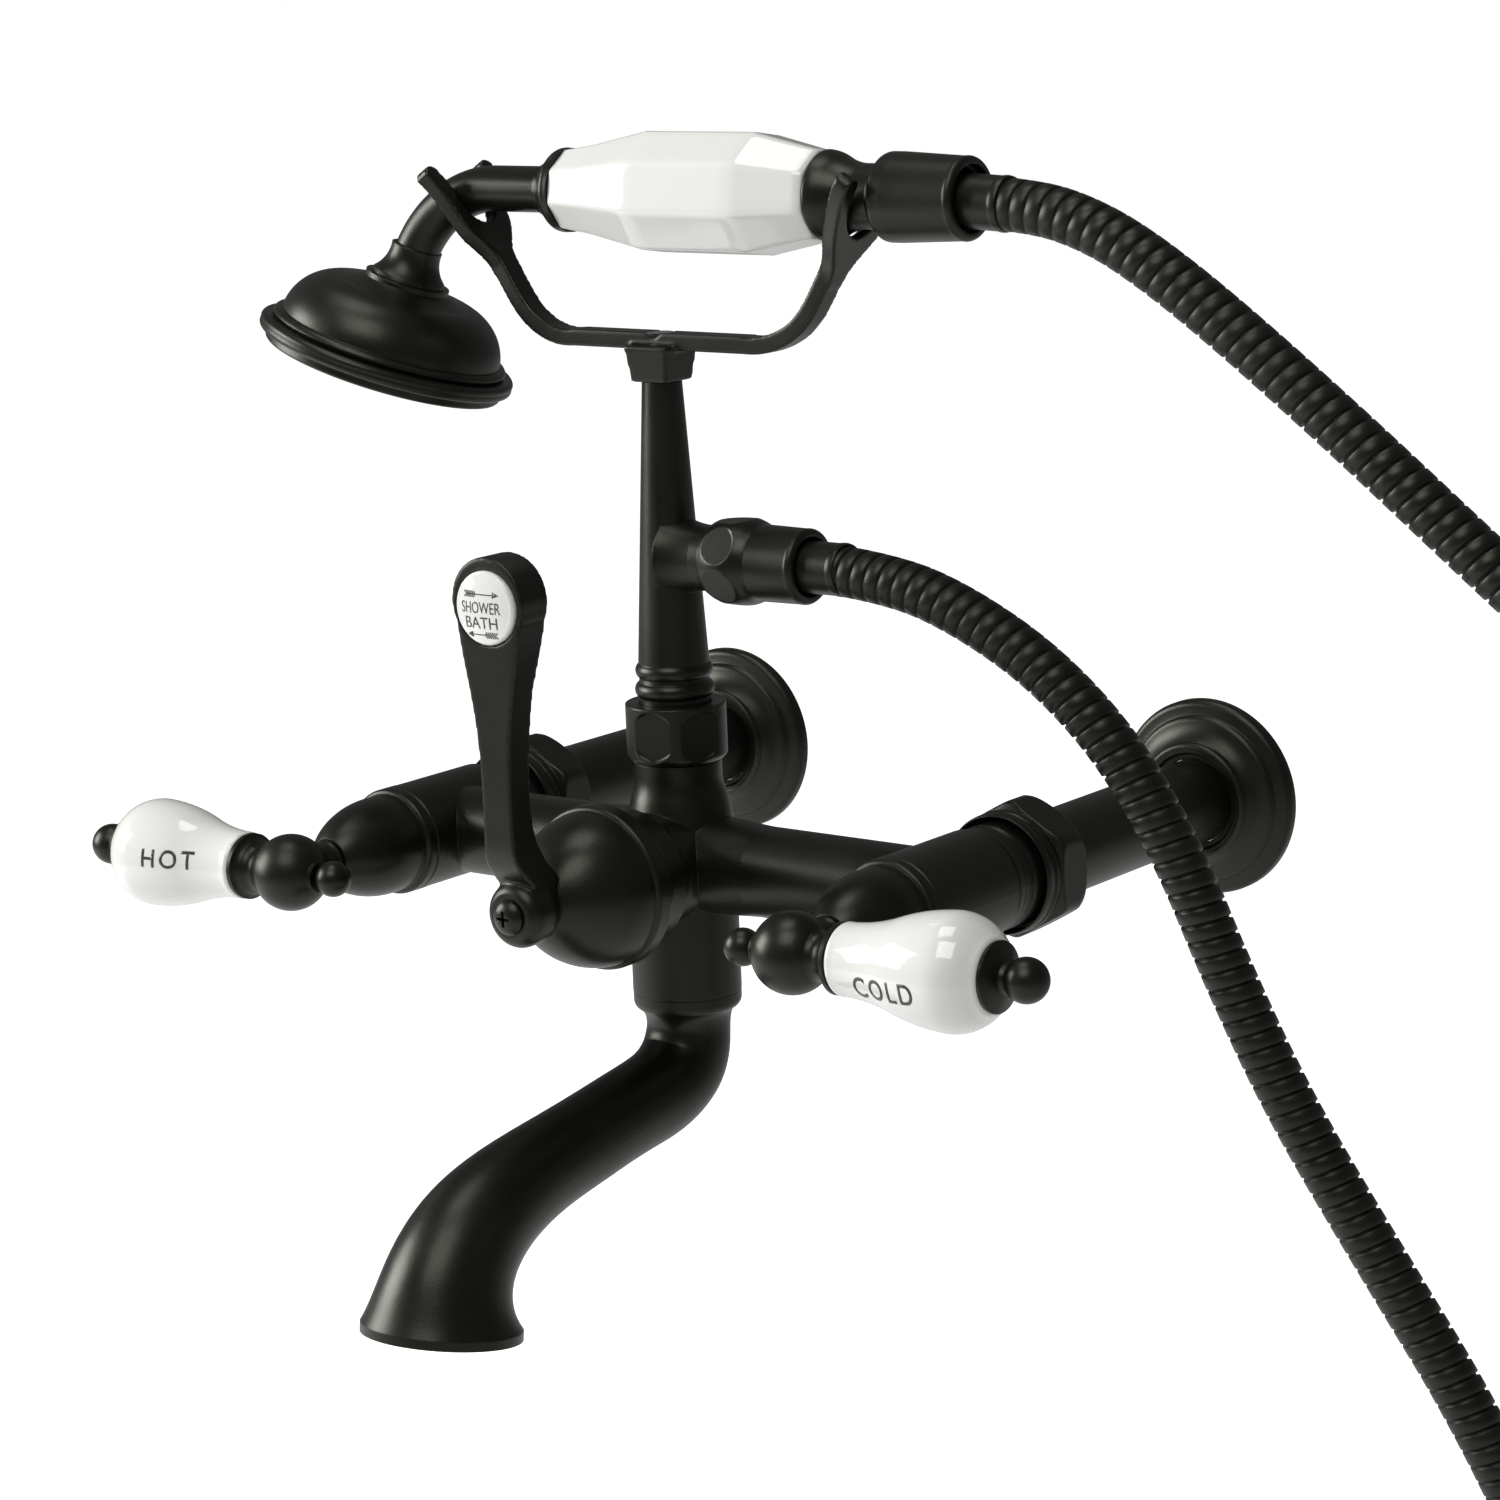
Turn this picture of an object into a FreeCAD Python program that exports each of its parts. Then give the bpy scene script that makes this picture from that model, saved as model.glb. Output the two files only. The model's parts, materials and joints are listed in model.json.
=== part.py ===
import FreeCAD, Part
import math
import os

# Wall mounted bath faucet: two inlets, a cross-shaped valve body, a riser with a
# cradle, a hand shower on a hose and a down-turned spout.
# Millimetres. Origin on the wall plane midway between the inlets.
# +X to the right when facing the wall, +Y into the wall, +Z up.

V = FreeCAD.Vector
os.makedirs("parts", exist_ok=True)

# ---------------------------------------------------------------- driving dimensions
INLET_X = 88.9            # half of the 7 inch (177.8 mm) inlet spacing
AXIS_Y = -139.8           # plane of the riser, the cross arms, the spout and the hand shower
CLEAR = 0.1               # radial clearance between nested pieces
RUNNING = 0.08            # radial running clearance of a turning stem

# wall arms and unions, measured outwards from the wall along -Y
FLANGE_R = 29.25
FLANGE_DEPTH = 10.8
FLANGE_WALL = 1.8
FLANGE_HOLE_R = 12.8
ARM_R = 12.5
ARM_BORE_R = 8.5
ARM_LENGTH = 97.8
ARM_FLANGE_R = 14.4
PIPE_THREAD_R = 9.3       # minor radius of a 1/2 inch female pipe thread
PIPE_THREAD_DEPTH = 16.0
UNION_BACK = 93.4
UNION_FRONT = 112.5
UNION_CORNER_R = 20.2
UNION_MOUTH_R = 16.3
BODY_END = 99.4
BODY_SHANK_R = 14.9

# valve body
BARREL_R = 15.5
BARREL_FRONT = 157.0
CROSS_ARM_R = 12.8
BODY_BOTTOM = -37.6
BODY_NECK_TOP = 29.2
BODY_NECK_R = 12.4
DIVERTER_FRONT = 169.6
DIVERTER_BOSS_R = 19.5

# valve heads and lever handles
BONNET_FRONT = 190.6
BALL_Y = 206.1
BALL_R = 11.0
STEM_R = 4.0
CARTRIDGE_R = 9.6
LEVER_CUP = 16.5
BULB_AT = 50.0
BULB_R = 15.6
LEVER_CAP = 63.5
FINIAL_AT = 72.4
FINIAL_R = 5.95
REAR_FINIAL_AT = 16.2
REAR_FINIAL_R = 5.1
LEVER_LIFT = {"hot": 0.0, "cold": 2.0}   # degrees above horizontal when closed

# diverter
DIVERTER_RING_R = 23.1
DIVERTER_NECK = 202.3
LEVER_FRONT = 217.5
PADDLE_Z = 86.3
PADDLE_R = 12.2
BUTTON_Z = 85.0
BUTTON_R = 10.0
DIVERTER_HUB_R = 9.3

# riser
RISER_BASE_Z = 35.0
RISER_TOP_Z = 136.0
RISER_LOW_R = 10.0
RISER_HIGH_R = 5.6
RISER_NUT_Z = (29.5, 45.8)
RISER_NUT_R = 14.2
RISER_NUT_FLAT = 12.95
OUTLET_Z = 87.4
CRADLE_BAR_Z = 147.2
CRADLE_DEPTH = 6.8        # the strip's width along Y
CRADLE_THICK = 4.8

# hand shower, lying along X
HAND_Z = 187.8
NECK_R = 6.45
GRIP_ENDS = (-29.0, 58.6)
UPPER_FERRULE_TILT = 3.0  # degrees down from the hand shower's axis, led by the hose
HAND_ROLL = -9.2          # degrees about its own axis, as it lies in the cradle
HEAD_TILT = 17.6          # degrees from vertical, before the roll
FACE_X = -96.7
FACE_Z = 135.8
FACE_R = 34.9
HEAD_RING_R = 37.4

# hose
HOSE_R = 6.7
HOSE_ROUTE = [
    (54.0, -139.8, 87.4), (77.0, -139.8, 86.2), (100.0, -139.0, 78.6), (124.0, -137.5, 65.0),
    (144.5, -135.5, 45.2), (160.5, -133.0, 18.5), (173.6, -130.0, -14.2), (189.5, -127.0, -47.1),
    (212.0, -123.0, -83.5), (240.5, -118.0, -128.0), (264.5, -115.0, -178.0), (281.0, -112.0, -233.0),
    (291.0, -110.0, -291.0), (294.5, -108.5, -346.0), (295.0, -108.0, -393.0), (316.5, -107.5, -430.5),
    (353.5, -107.0, -452.0), (396.5, -107.0, -452.0), (433.5, -107.5, -430.5), (455.0, -108.0, -393.0),
    (459.0, -108.5, -346.0), (457.0, -109.5, -288.0), (449.0, -111.0, -226.0), (434.0, -113.0, -162.0),
    (411.0, -115.5, -98.0), (378.0, -118.0, -36.0), (338.0, -121.0, 18.0), (294.0, -124.5, 62.0),
    (250.0, -128.0, 98.0), (211.2, -133.0, 131.8), (175.3, -137.0, 160.9), (153.5, -139.0, 175.9),
    (139.0, -139.6, 182.6), (125.0, -139.8, 186.154), (109.0, -139.8, 186.993),
]


# ---------------------------------------------------------------- helpers
def save(name, shape):
    """Writes one sub-part and prints what it is."""
    solids = shape.Solids
    print(name, len(solids), "solid(s)", round(shape.Volume, 1), "mm3", "valid" if shape.isValid() else "INVALID")
    shape.exportStep("parts/" + name + ".step")


def outline(points):
    """A closed wire through points in the XZ plane. A point given as a pair of points is an arc: (through, end)."""
    edges = []
    here = points[0]
    for step in points[1:] + [points[0]]:
        if isinstance(step[0], tuple):
            through, end = step
            arc = Part.Arc(V(here[0], 0, here[1]), V(through[0], 0, through[1]), V(end[0], 0, end[1]))
            edges.append(arc.toShape())
        else:
            end = step
            if abs(end[0] - here[0]) + abs(end[1] - here[1]) > 1e-6:
                edges.append(Part.LineSegment(V(here[0], 0, here[1]), V(end[0], 0, end[1])).toShape())
        here = end
    return Part.Wire(edges)


def turned(points):
    """A solid of revolution about Z from an outline of (radius, height)."""
    return Part.Face(outline(points)).revolve(V(0, 0, 0), V(0, 0, 1), 360)


def aim(shape, origin, axis):
    """Lays a shape made along +Z with its origin at origin and its axis along axis."""
    moved = shape.copy()
    moved.Placement = FreeCAD.Placement(V(*origin), FreeCAD.Rotation(V(0, 0, 1), V(*axis)))
    return moved


def rod(radius, start, end):
    """A cylinder between two points."""
    start = V(*start)
    end = V(*end)
    return Part.makeCylinder(radius, (end - start).Length, start, end - start)


def ring(outer, inner, low, high):
    """A plain washer about Z."""
    return turned([(inner, low), (outer, low), (outer, high), (inner, high)])


def hexagon(corner_r, low, high, bevel_r):
    """A hexagonal prism about Z with its corners rounded down to bevel_r at both ends by a cone."""
    corners = [V(corner_r * math.cos(math.radians(60 * k)), corner_r * math.sin(math.radians(60 * k)), low)
               for k in range(7)]
    prism = Part.Face(Part.makePolygon(corners)).extrude(V(0, 0, high - low))
    drop = (corner_r + 0.01 - bevel_r) * 0.62
    limit = turned([(0, low), (bevel_r, low), (corner_r + 0.01, low + drop), (corner_r + 0.01, high - drop),
                    (bevel_r, high), (0, high)])
    return prism.common(limit)


def round_flats(apothem, radius, z):
    """Six discs whose cut leaves round flats on the side of a nut."""
    flats = []
    for k in range(6):
        a = math.radians(60 * k)
        flats.append(rod(radius, (apothem * math.cos(a), apothem * math.sin(a), z),
                         (30 * math.cos(a), 30 * math.sin(a), z)))
    return flats


def tube_along(wire, radius):
    """A round bar swept along a wire of straight runs and tangent arcs."""
    edge = wire.Edges[0]
    start = edge.valueAt(edge.FirstParameter)
    direction = edge.tangentAt(edge.FirstParameter)
    section = Part.Wire(Part.makeCircle(radius, start, direction))
    return wire.makePipeShell([section], True, False)


def lofted(sections, ruled=False):
    """A solid through a list of closed wires."""
    return Part.makeLoft(sections, True, ruled)


def circle(radius, centre, normal):
    return Part.Wire(Part.makeCircle(radius, V(*centre), V(*normal)))


# ---------------------------------------------------------------- wall arms and unions
def wall_flange(x):
    """Escutcheon: a thin turned shell with a rounded rim, a step and an ogee up to the arm."""
    r, d, w = FLANGE_R, FLANGE_DEPTH, FLANGE_WALL
    shell = turned([
        (r - w, 0), (r, 0), (r, 2.2), ((r - 0.7, 3.6), (r - 2.2, 4.2)), (r - 4.4, 4.6),
        ((r - 5.0, 5.6), (r - 6.2, 6.2)), ((20.0, 7.4), (17.6, 9.4)), ((16.9, d), (15.6, d)),
        (FLANGE_HOLE_R, d), (FLANGE_HOLE_R, d - 1.6), (15.2, d - 1.9), ((18.6, 5.9), (r - 7.6, 4.4)),
        (r - 7.2, 2.9), (r - w, 2.6),
    ])
    return aim(shell, (x, 0, 0), (0, -1, 0))


def wall_arm(x):
    """Tube from the pipe in the wall to the union, with the collar that the union nut pulls on."""
    tube = turned([
        (PIPE_THREAD_R, 0), (ARM_R, 0), (ARM_R, ARM_LENGTH - 2.4), (ARM_FLANGE_R, ARM_LENGTH - 2.4),
        (ARM_FLANGE_R, ARM_LENGTH), (ARM_BORE_R, ARM_LENGTH), (ARM_BORE_R, PIPE_THREAD_DEPTH + 1.2),
        (PIPE_THREAD_R, PIPE_THREAD_DEPTH),
    ])
    return aim(tube, (x, 0, 0), (0, -1, 0))


def union_washer(x):
    washer = ring(13.9, ARM_BORE_R, ARM_LENGTH + 0.05, BODY_END - 0.05)
    return aim(washer, (x, 0, 0), (0, -1, 0))


def union_nut(x):
    """Hexagon nut with a rounded shoulder at the wall side and an open mouth over the valve body's shank."""
    flats = hexagon(UNION_CORNER_R, UNION_BACK + 3.4, UNION_FRONT - 1.6, 18.2)
    shoulder = turned([
        (0, UNION_BACK), (14.6, UNION_BACK), ((16.6, UNION_BACK + 0.9), (17.2, UNION_BACK + 3.0)),
        (17.6, UNION_BACK + 4.6), (0, UNION_BACK + 4.6),
    ])
    rim = turned([
        (0, UNION_FRONT - 3.0), (18.4, UNION_FRONT - 3.0), (18.6, UNION_FRONT - 1.4),
        ((18.2, UNION_FRONT - 0.3), (17.2, UNION_FRONT)), (0, UNION_FRONT),
    ])
    hole = turned([
        (0, UNION_BACK - 1), (ARM_R + 0.25, UNION_BACK - 1), (ARM_R + 0.25, ARM_LENGTH - 2.5),
        (BODY_SHANK_R + CLEAR, ARM_LENGTH - 2.5), (BODY_SHANK_R + CLEAR, UNION_FRONT - 5.2),
        (UNION_MOUTH_R, UNION_FRONT - 5.2), (UNION_MOUTH_R, UNION_FRONT + 1), (0, UNION_FRONT + 1),
    ])
    nut = flats.fuse([shoulder, rim]).cut(hole).removeSplitter()
    return aim(nut, (x, 0, 0), (0, -1, 0))


# ---------------------------------------------------------------- valve body
def valve_body():
    """One casting: a vertical barrel, two cross arms, two valve barrels and the diverter boss."""
    barrel = turned([
        (0, BODY_BOTTOM), (BARREL_R, BODY_BOTTOM), (BARREL_R, 4.0),
        ((14.9, 13.0), (13.1, 20.5)), ((12.5, 23.0), (BODY_NECK_R, 26.0)),
        (BODY_NECK_R, BODY_NECK_TOP), (11.5, BODY_NECK_TOP), (11.5, 32.6), (0, 32.6),
    ])
    solid = aim(barrel, (0, AXIS_Y, 0), (0, 0, 1))
    arms = rod(CROSS_ARM_R, (-INLET_X, AXIS_Y, 0), (INLET_X, AXIS_Y, 0))
    boss = aim(turned([
        (0, 0), (16.4, 0), (16.4, 16.0), ((17.2, 20.5), (DIVERTER_BOSS_R, 22.6)),
        (DIVERTER_BOSS_R, DIVERTER_FRONT + AXIS_Y), (0, DIVERTER_FRONT + AXIS_Y),
    ]), (0, AXIS_Y, 0), (0, -1, 0))
    valves = []
    for x in (-INLET_X, INLET_X):
        valve = turned([
            (0, BODY_END), (BODY_SHANK_R, BODY_END), (BODY_SHANK_R, UNION_FRONT + 3.6),
            ((14.2, UNION_FRONT + 5.2), (14.3, UNION_FRONT + 7.0)), ((14.6, 122.5), (BARREL_R, 124.5)),
            (BARREL_R, BARREL_FRONT), (0, BARREL_FRONT),
        ])
        valves.append(aim(valve, (x, 0, 0), (0, -1, 0)))
    swell = []
    for side in (-1, 1):
        cone = turned([(0, 0), (15.3, 0), ((14.0, 13.5), (CROSS_ARM_R, 30.0)), (0, 30.0)])
        swell.append(aim(cone, (0, AXIS_Y, 0), (side, 0, 0)))
    solid = solid.fuse([arms, boss] + valves + swell).removeSplitter()

    spout_bore = rod(10.6, (0, AXIS_Y, BODY_BOTTOM - 1), (0, AXIS_Y, -20.0))
    up_bore = rod(8.0, (0, AXIS_Y, -21.0), (0, AXIS_Y, 34.0))
    diverter_bore = rod(13.6, (0, -DIVERTER_FRONT - 1, 0), (0, -127.4, 0))
    cuts = [spout_bore, up_bore, diverter_bore]
    for side in (-1, 1):
        x = side * INLET_X
        cuts.append(rod(7.0, (side * 9.0, AXIS_Y, 0), (x, AXIS_Y, 0)))
        cuts.append(rod(CARTRIDGE_R + CLEAR, (x, -BARREL_FRONT - 1, 0), (x, -122.0, 0)))
        cuts.append(rod(ARM_BORE_R, (x, -BODY_END + 1, 0), (x, -123.0, 0)))
    grub = rod(2.0, (0, AXIS_Y, -28.5), (0, AXIS_Y + 20, -28.5))
    return solid.cut(cuts + [grub])


# ---------------------------------------------------------------- valve heads
def bonnet(x):
    """Domed valve cover: stepped collar against the barrel, dome down to the stem hole."""
    shell = turned([
        (CARTRIDGE_R + CLEAR, BARREL_FRONT + 0.05), (15.6, BARREL_FRONT + 0.05), (15.6, 160.6), (15.1, 161.0),
        (15.6, 161.5), (15.6, 163.4), ((15.3, 164.3), (14.4, 164.8)), (14.1, 166.0),
        ((13.6, 176.5), (10.0, 186.2)), ((8.4, 188.6), (6.6, BONNET_FRONT)),
        (STEM_R + 0.5, BONNET_FRONT), (STEM_R + 0.5, 176.0), (CARTRIDGE_R + CLEAR, 172.0),
    ])
    return aim(shell, (x, 0, 0), (0, -1, 0))


def cartridge(x):
    """Quarter turn valve insert that the stem turns in."""
    insert = turned([
        (0, 123.6), (CARTRIDGE_R, 123.6), (CARTRIDGE_R, 171.4), (7.2, 173.4),
        (STEM_R + RUNNING, 173.4), (STEM_R + RUNNING, 142.0), (0, 142.0),
    ])
    port = rod(4.5, (-CARTRIDGE_R - 1, 0, 132.0), (CARTRIDGE_R + 1, 0, 132.0))
    feed = rod(5.5, (0, 0, 122.0), (0, 0, 134.0))
    return aim(insert.cut([port, feed]), (x, 0, 0), (0, -1, 0))


def stem(x):
    bar = rod(STEM_R, (0, 0, 142.4), (0, 0, BALL_Y + 3.0))
    groove = ring(STEM_R + 1, STEM_R - 0.6, 178.0, 179.2)
    return aim(bar.cut(groove), (x, 0, 0), (0, -1, 0))


# ---------------------------------------------------------------- lever handles
def lever_frame(shape, x, side, lift):
    """Takes a piece made along +Z from the ball's centre and lays it along the lever."""
    angle = math.radians(lift)
    return aim(shape, (x, -BALL_Y, 0), (side * math.cos(angle), 0, math.sin(angle)))


def lever_hub(x, side, lift):
    """Ball with a short neck to the bonnet and a flared cup that holds the porcelain."""
    ball = Part.makeSphere(BALL_R, V(x, -BALL_Y, 0))
    neck = aim(turned([
        (0, 190.9), (5.9, 190.9), (6.2, 191.6), ((5.4, 194.2), (6.6, 197.8)), (0, 200.0),
    ]), (x, 0, 0), (0, -1, 0))
    cup = lever_frame(turned([
        (0, 6.0), (7.0, 8.6), ((6.3, 11.2), (7.4, 13.4)), ((8.4, 14.6), (9.5, 15.2)),
        (9.5, LEVER_CUP), (0, LEVER_CUP),
    ]), x, side, lift)
    boss = lever_frame(turned([(0, -6.0), (4.4, -9.9), (4.4, -11.2), (0, -11.2)]), x, side, lift)
    hub = ball.fuse([neck, cup, boss]).removeSplitter()
    stem_hole = rod(STEM_R + 0.04, (x, -190, 0), (x, -BALL_Y - 3.2, 0))
    rod_hole = lever_frame(rod(2.6, (0, 0, 5.6), (0, 0, LEVER_CUP + 1)), x, side, lift)
    grub_hole = rod(1.9, (x, -BALL_Y, -BALL_R - 1), (x, -BALL_Y, -3.0))
    finial_hole = lever_frame(rod(1.6, (0, 0, -12), (0, 0, -5.6)), x, side, lift)
    return hub.cut([stem_hole, rod_hole, grub_hole, finial_hole])


def rear_finial(x, side, lift):
    ball = Part.makeSphere(REAR_FINIAL_R, V(0, 0, -REAR_FINIAL_AT))
    stub = rod(1.5, (0, 0, -12.5), (0, 0, -6.0))
    face = Part.makeBox(20, 20, 20, V(-10, -10, -11.25))
    return lever_frame(ball.cut(face).fuse(stub), x, side, lift)


def grub_screw(x):
    screw = rod(1.8, (x, -BALL_Y, -BALL_R + 0.7), (x, -BALL_Y, -STEM_R - 0.1))
    key = rod(0.9, (x, -BALL_Y, -BALL_R), (x, -BALL_Y, -BALL_R + 2.6))
    return screw.cut(key)


def lever_rod(x, side, lift):
    return lever_frame(rod(2.5, (0, 0, 6.0), (0, 0, 67.0)), x, side, lift)


def lever_porcelain(x, side, lift):
    """Pear-shaped porcelain sleeve, bored for the rod."""
    body = turned([
        (3.2, LEVER_CUP + 0.1), (8.8, LEVER_CUP + 0.1), ((9.5, 17.2), (9.7, 18.4)),
        ((10.4, 26.0), (12.4, 34.0)), ((14.6, 42.0), (BULB_R, BULB_AT)),
        ((14.2, 57.6), (10.6, 62.2)), ((9.9, 63.0), (8.9, LEVER_CAP - 0.1)), (3.2, LEVER_CAP - 0.1),
    ])
    return lever_frame(body, x, side, lift)


def lever_cap(x, side, lift):
    """Conical cap and ball finial that close the lever."""
    cone = turned([
        (0, LEVER_CAP), (9.2, LEVER_CAP), (9.3, 64.4), ((7.0, 65.4), (4.2, 66.6)), (3.4, 68.6), (0, 68.6),
    ])
    ball = Part.makeSphere(FINIAL_R, V(0, 0, FINIAL_AT))
    hole = rod(2.6, (0, 0, 60), (0, 0, 67.4))
    return lever_frame(cone.fuse(ball).cut(hole), x, side, lift)


# ---------------------------------------------------------------- diverter
def diverter_bonnet():
    shell = turned([
        (13.6, DIVERTER_FRONT + 0.05), (20.6, DIVERTER_FRONT + 0.05), (21.0, 172.2), (22.2, 172.6),
        ((22.9, 173.2), (DIVERTER_RING_R, 174.4)), (DIVERTER_RING_R, 177.4),
        ((22.9, 178.4), (22.0, 179.0)), ((17.6, 192.4), (6.9, DIVERTER_NECK)),
        (STEM_R + 0.5, DIVERTER_NECK), (STEM_R + 0.5, 190.0), (13.6, 185.0),
    ])
    return aim(shell, (0, 0, 0), (0, -1, 0))


def diverter_cartridge():
    insert = turned([
        (0, 128.6), (13.4, 128.6), (13.4, 181.6), (9.0, 185.4),
        (STEM_R + RUNNING, 185.4), (STEM_R + RUNNING, 152.0), (0, 152.0),
    ])
    ports = [rod(6.0, (-20, 0, -AXIS_Y), (20, 0, -AXIS_Y)), rod(6.5, (0, -20, -AXIS_Y), (0, 20, -AXIS_Y))]
    return aim(insert.cut(ports), (0, 0, 0), (0, -1, 0))


def diverter_stem():
    bar = rod(STEM_R, (0, 0, 152.4), (0, 0, 212.4))
    thread = rod(2.05, (0, 0, 204.0), (0, 0, 213.0))
    return aim(bar.cut(thread), (0, 0, 0), (0, -1, 0))


def diverter_lever():
    """Upright lever: a round hub on the stem, an arm that steps forward, and a round paddle."""
    f = -LEVER_FRONT
    side_view = [
        V(0, f, 100.0), V(0, f, 26.0), V(0, f + 1.4, 14.0), V(0, f + 7.6, 6.6), V(0, f + 9.0, 0.0),
        V(0, f + 23.0, 0.0), V(0, f + 22.0, 4.8), V(0, f + 14.6, 12.0), V(0, f + 9.4, 22.0), V(0, f + 8.3, 34.0),
        V(0, f + 8.7, 62.0), V(0, f + 11.2, 80.0), V(0, f + 11.2, 100.0),
    ]
    front = Part.LineSegment(side_view[0], side_view[1]).toShape()
    step = Part.BSplineCurve()
    step.interpolate([side_view[1], side_view[2], side_view[3], side_view[4]], InitialTangent=V(0, 0, -1),
                     FinalTangent=V(0, 0, -1))
    back = Part.BSplineCurve()
    back.interpolate(side_view[6:11], InitialTangent=V(0, -1, 1), FinalTangent=V(0, 0, 1))
    rear = [Part.LineSegment(a, b).toShape() for a, b in
            ((side_view[4], side_view[5]), (side_view[5], side_view[6]), (side_view[10], side_view[11]),
             (side_view[11], side_view[12]), (side_view[12], side_view[0]))]
    profile = Part.Wire([front, step.toShape(), rear[0], rear[1], back.toShape(), rear[2], rear[3], rear[4]])
    blade = Part.Face(profile).extrude(V(40, 0, 0))
    blade.translate(V(-20, 0, 0))

    # front view: half widths of the arm at these heights, ended by the paddle's circle
    waist = [(7.4, 0.0), (6.2, 10.0), (5.2, 24.0), (5.2, 40.0), (6.6, 56.0), (9.4, 71.0)]
    meet = (math.sqrt(PADDLE_R ** 2 - 5.6 ** 2), PADDLE_Z - 5.6)
    right = Part.BSplineCurve()
    right.interpolate([V(w, 0, z) for w, z in waist] + [V(meet[0], 0, meet[1])])
    left = Part.BSplineCurve()
    left.interpolate([V(-w, 0, z) for w, z in waist] + [V(-meet[0], 0, meet[1])])
    crown = Part.Arc(V(meet[0], 0, meet[1]), V(0, 0, PADDLE_Z + PADDLE_R), V(-meet[0], 0, meet[1]))
    foot = Part.LineSegment(V(-waist[0][0], 0, 0), V(waist[0][0], 0, 0))
    face = Part.Face(Part.Wire([foot.toShape(), right.toShape(), crown.toShape(), left.toShape()]))
    face.translate(V(0, -240, 0))
    arm = blade.common(face.extrude(V(0, 60, 0)))

    hub = aim(turned([
        (0, 203.0), (7.6, 203.0), ((8.7, 204.6), (DIVERTER_HUB_R, 207.0)), (DIVERTER_HUB_R, 210.5),
        ((8.4, 213.2), (6.6, 214.6)), (0, 214.6),
    ]), (0, 0, 0), (0, -1, 0))
    lever = arm.fuse(hub).removeSplitter()
    socket = rod(BUTTON_R + 0.1, (0, f - 1, BUTTON_Z), (0, f + 2.6, BUTTON_Z))
    stem_hole = rod(STEM_R + 0.04, (0, -190, 0), (0, -212.6, 0))
    screw_hole = rod(2.2, (0, -212, 0), (0, -220, 0))
    dome_space = aim(turned([(0, 178.0), (22.8, 178.0), ((18.3, 193.0), (7.0, DIVERTER_NECK + 0.6)),
                             (0, DIVERTER_NECK + 0.6)]), (0, 0, 0), (0, -1, 0))
    return lever.cut([socket, stem_hole, screw_hole, dome_space])


def diverter_screw():
    head = turned([(0, 214.7), (4.9, 214.7), (4.9, 215.4), ((3.4, 216.8), (0, 217.2))])
    shank = rod(1.95, (0, 0, 204.6), (0, 0, 215.0))
    cross = [Part.makeBox(4.4, 0.9, 1.6, V(-2.2, -0.45, 215.9)), Part.makeBox(0.9, 4.4, 1.6, V(-0.45, -2.2, 215.9))]
    return aim(head.fuse(shank).cut(cross), (0, 0, 0), (0, -1, 0))


def diverter_button():
    disc = turned([(0, -2.5), (BUTTON_R, -2.5), (BUTTON_R, 0.2), ((BUTTON_R - 0.3, 0.7), (BUTTON_R - 1.0, 0.9)),
                   (BUTTON_R - 3.0, 1.2), (2.0, 1.4), (0, 1.4)])
    return aim(disc, (0, -LEVER_FRONT, BUTTON_Z), (0, -1, 0))


# ---------------------------------------------------------------- riser
def riser():
    """Tapered tube with two beads above its nut and a side outlet for the hose."""
    solid = turned([
        (0, RISER_BASE_Z), (11.3, RISER_BASE_Z), (11.3, RISER_BASE_Z + 2.2), (10.0, RISER_BASE_Z + 2.2), (10.0, 47.4),
        ((11.2, 49.6), (10.0, 51.8)), (9.8, 52.9), ((10.9, 54.9), (RISER_LOW_R, 57.0)),
        (RISER_HIGH_R, RISER_TOP_Z), (3.4, RISER_TOP_Z), (3.4, RISER_TOP_Z + 4.0), (0, RISER_TOP_Z + 4.0),
    ])
    outlet = aim(turned([
        (0, 0), (11.6, 3.0), ((9.9, 8.4), (9.2, 13.4)), (9.2, 16.6), (8.3, 16.6), (8.3, 27.0), (0, 27.0),
    ]), (0, 0, OUTLET_Z), (1, 0, 0))
    limit = turned([(0, 60), (30, 60), (30, 120), (0, 120)])
    outlet = outlet.common(limit)
    solid = solid.fuse(outlet).removeSplitter()
    water = rod(6.2, (0, 0, 30), (0, 0, 68)).fuse(rod(4.6, (0, 0, 67), (0, 0, 92)))
    side = rod(4.4, (0, 0, OUTLET_Z), (30, 0, OUTLET_Z))
    screw = rod(1.7, (0, 0, RISER_TOP_Z - 14), (0, 0, RISER_TOP_Z + 6))
    made = solid.cut([water, side, screw])
    made.translate(V(0, AXIS_Y, 0))
    return made


def riser_nut():
    low, high = RISER_NUT_Z
    nut = turned([(0, low), (12.9, low), (RISER_NUT_R, low + 1.4), (RISER_NUT_R, high), (0, high)])
    nut = nut.cut([rod(10.1, (0, 0, low - 1), (0, 0, high + 1)), rod(11.6, (0, 0, low - 1), (0, 0, 37.3))])
    nut = nut.cut(round_flats(RISER_NUT_FLAT, 6.3, (low + high) / 2))
    nut.rotate(V(0, 0, 0), V(0, 0, 1), 38)
    nut.translate(V(0, AXIS_Y, 0))
    return nut


def riser_washer():
    return aim(ring(11.2, 6.4, 32.65, RISER_BASE_Z - 0.05), (0, AXIS_Y, 0), (0, 0, 1))


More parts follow.
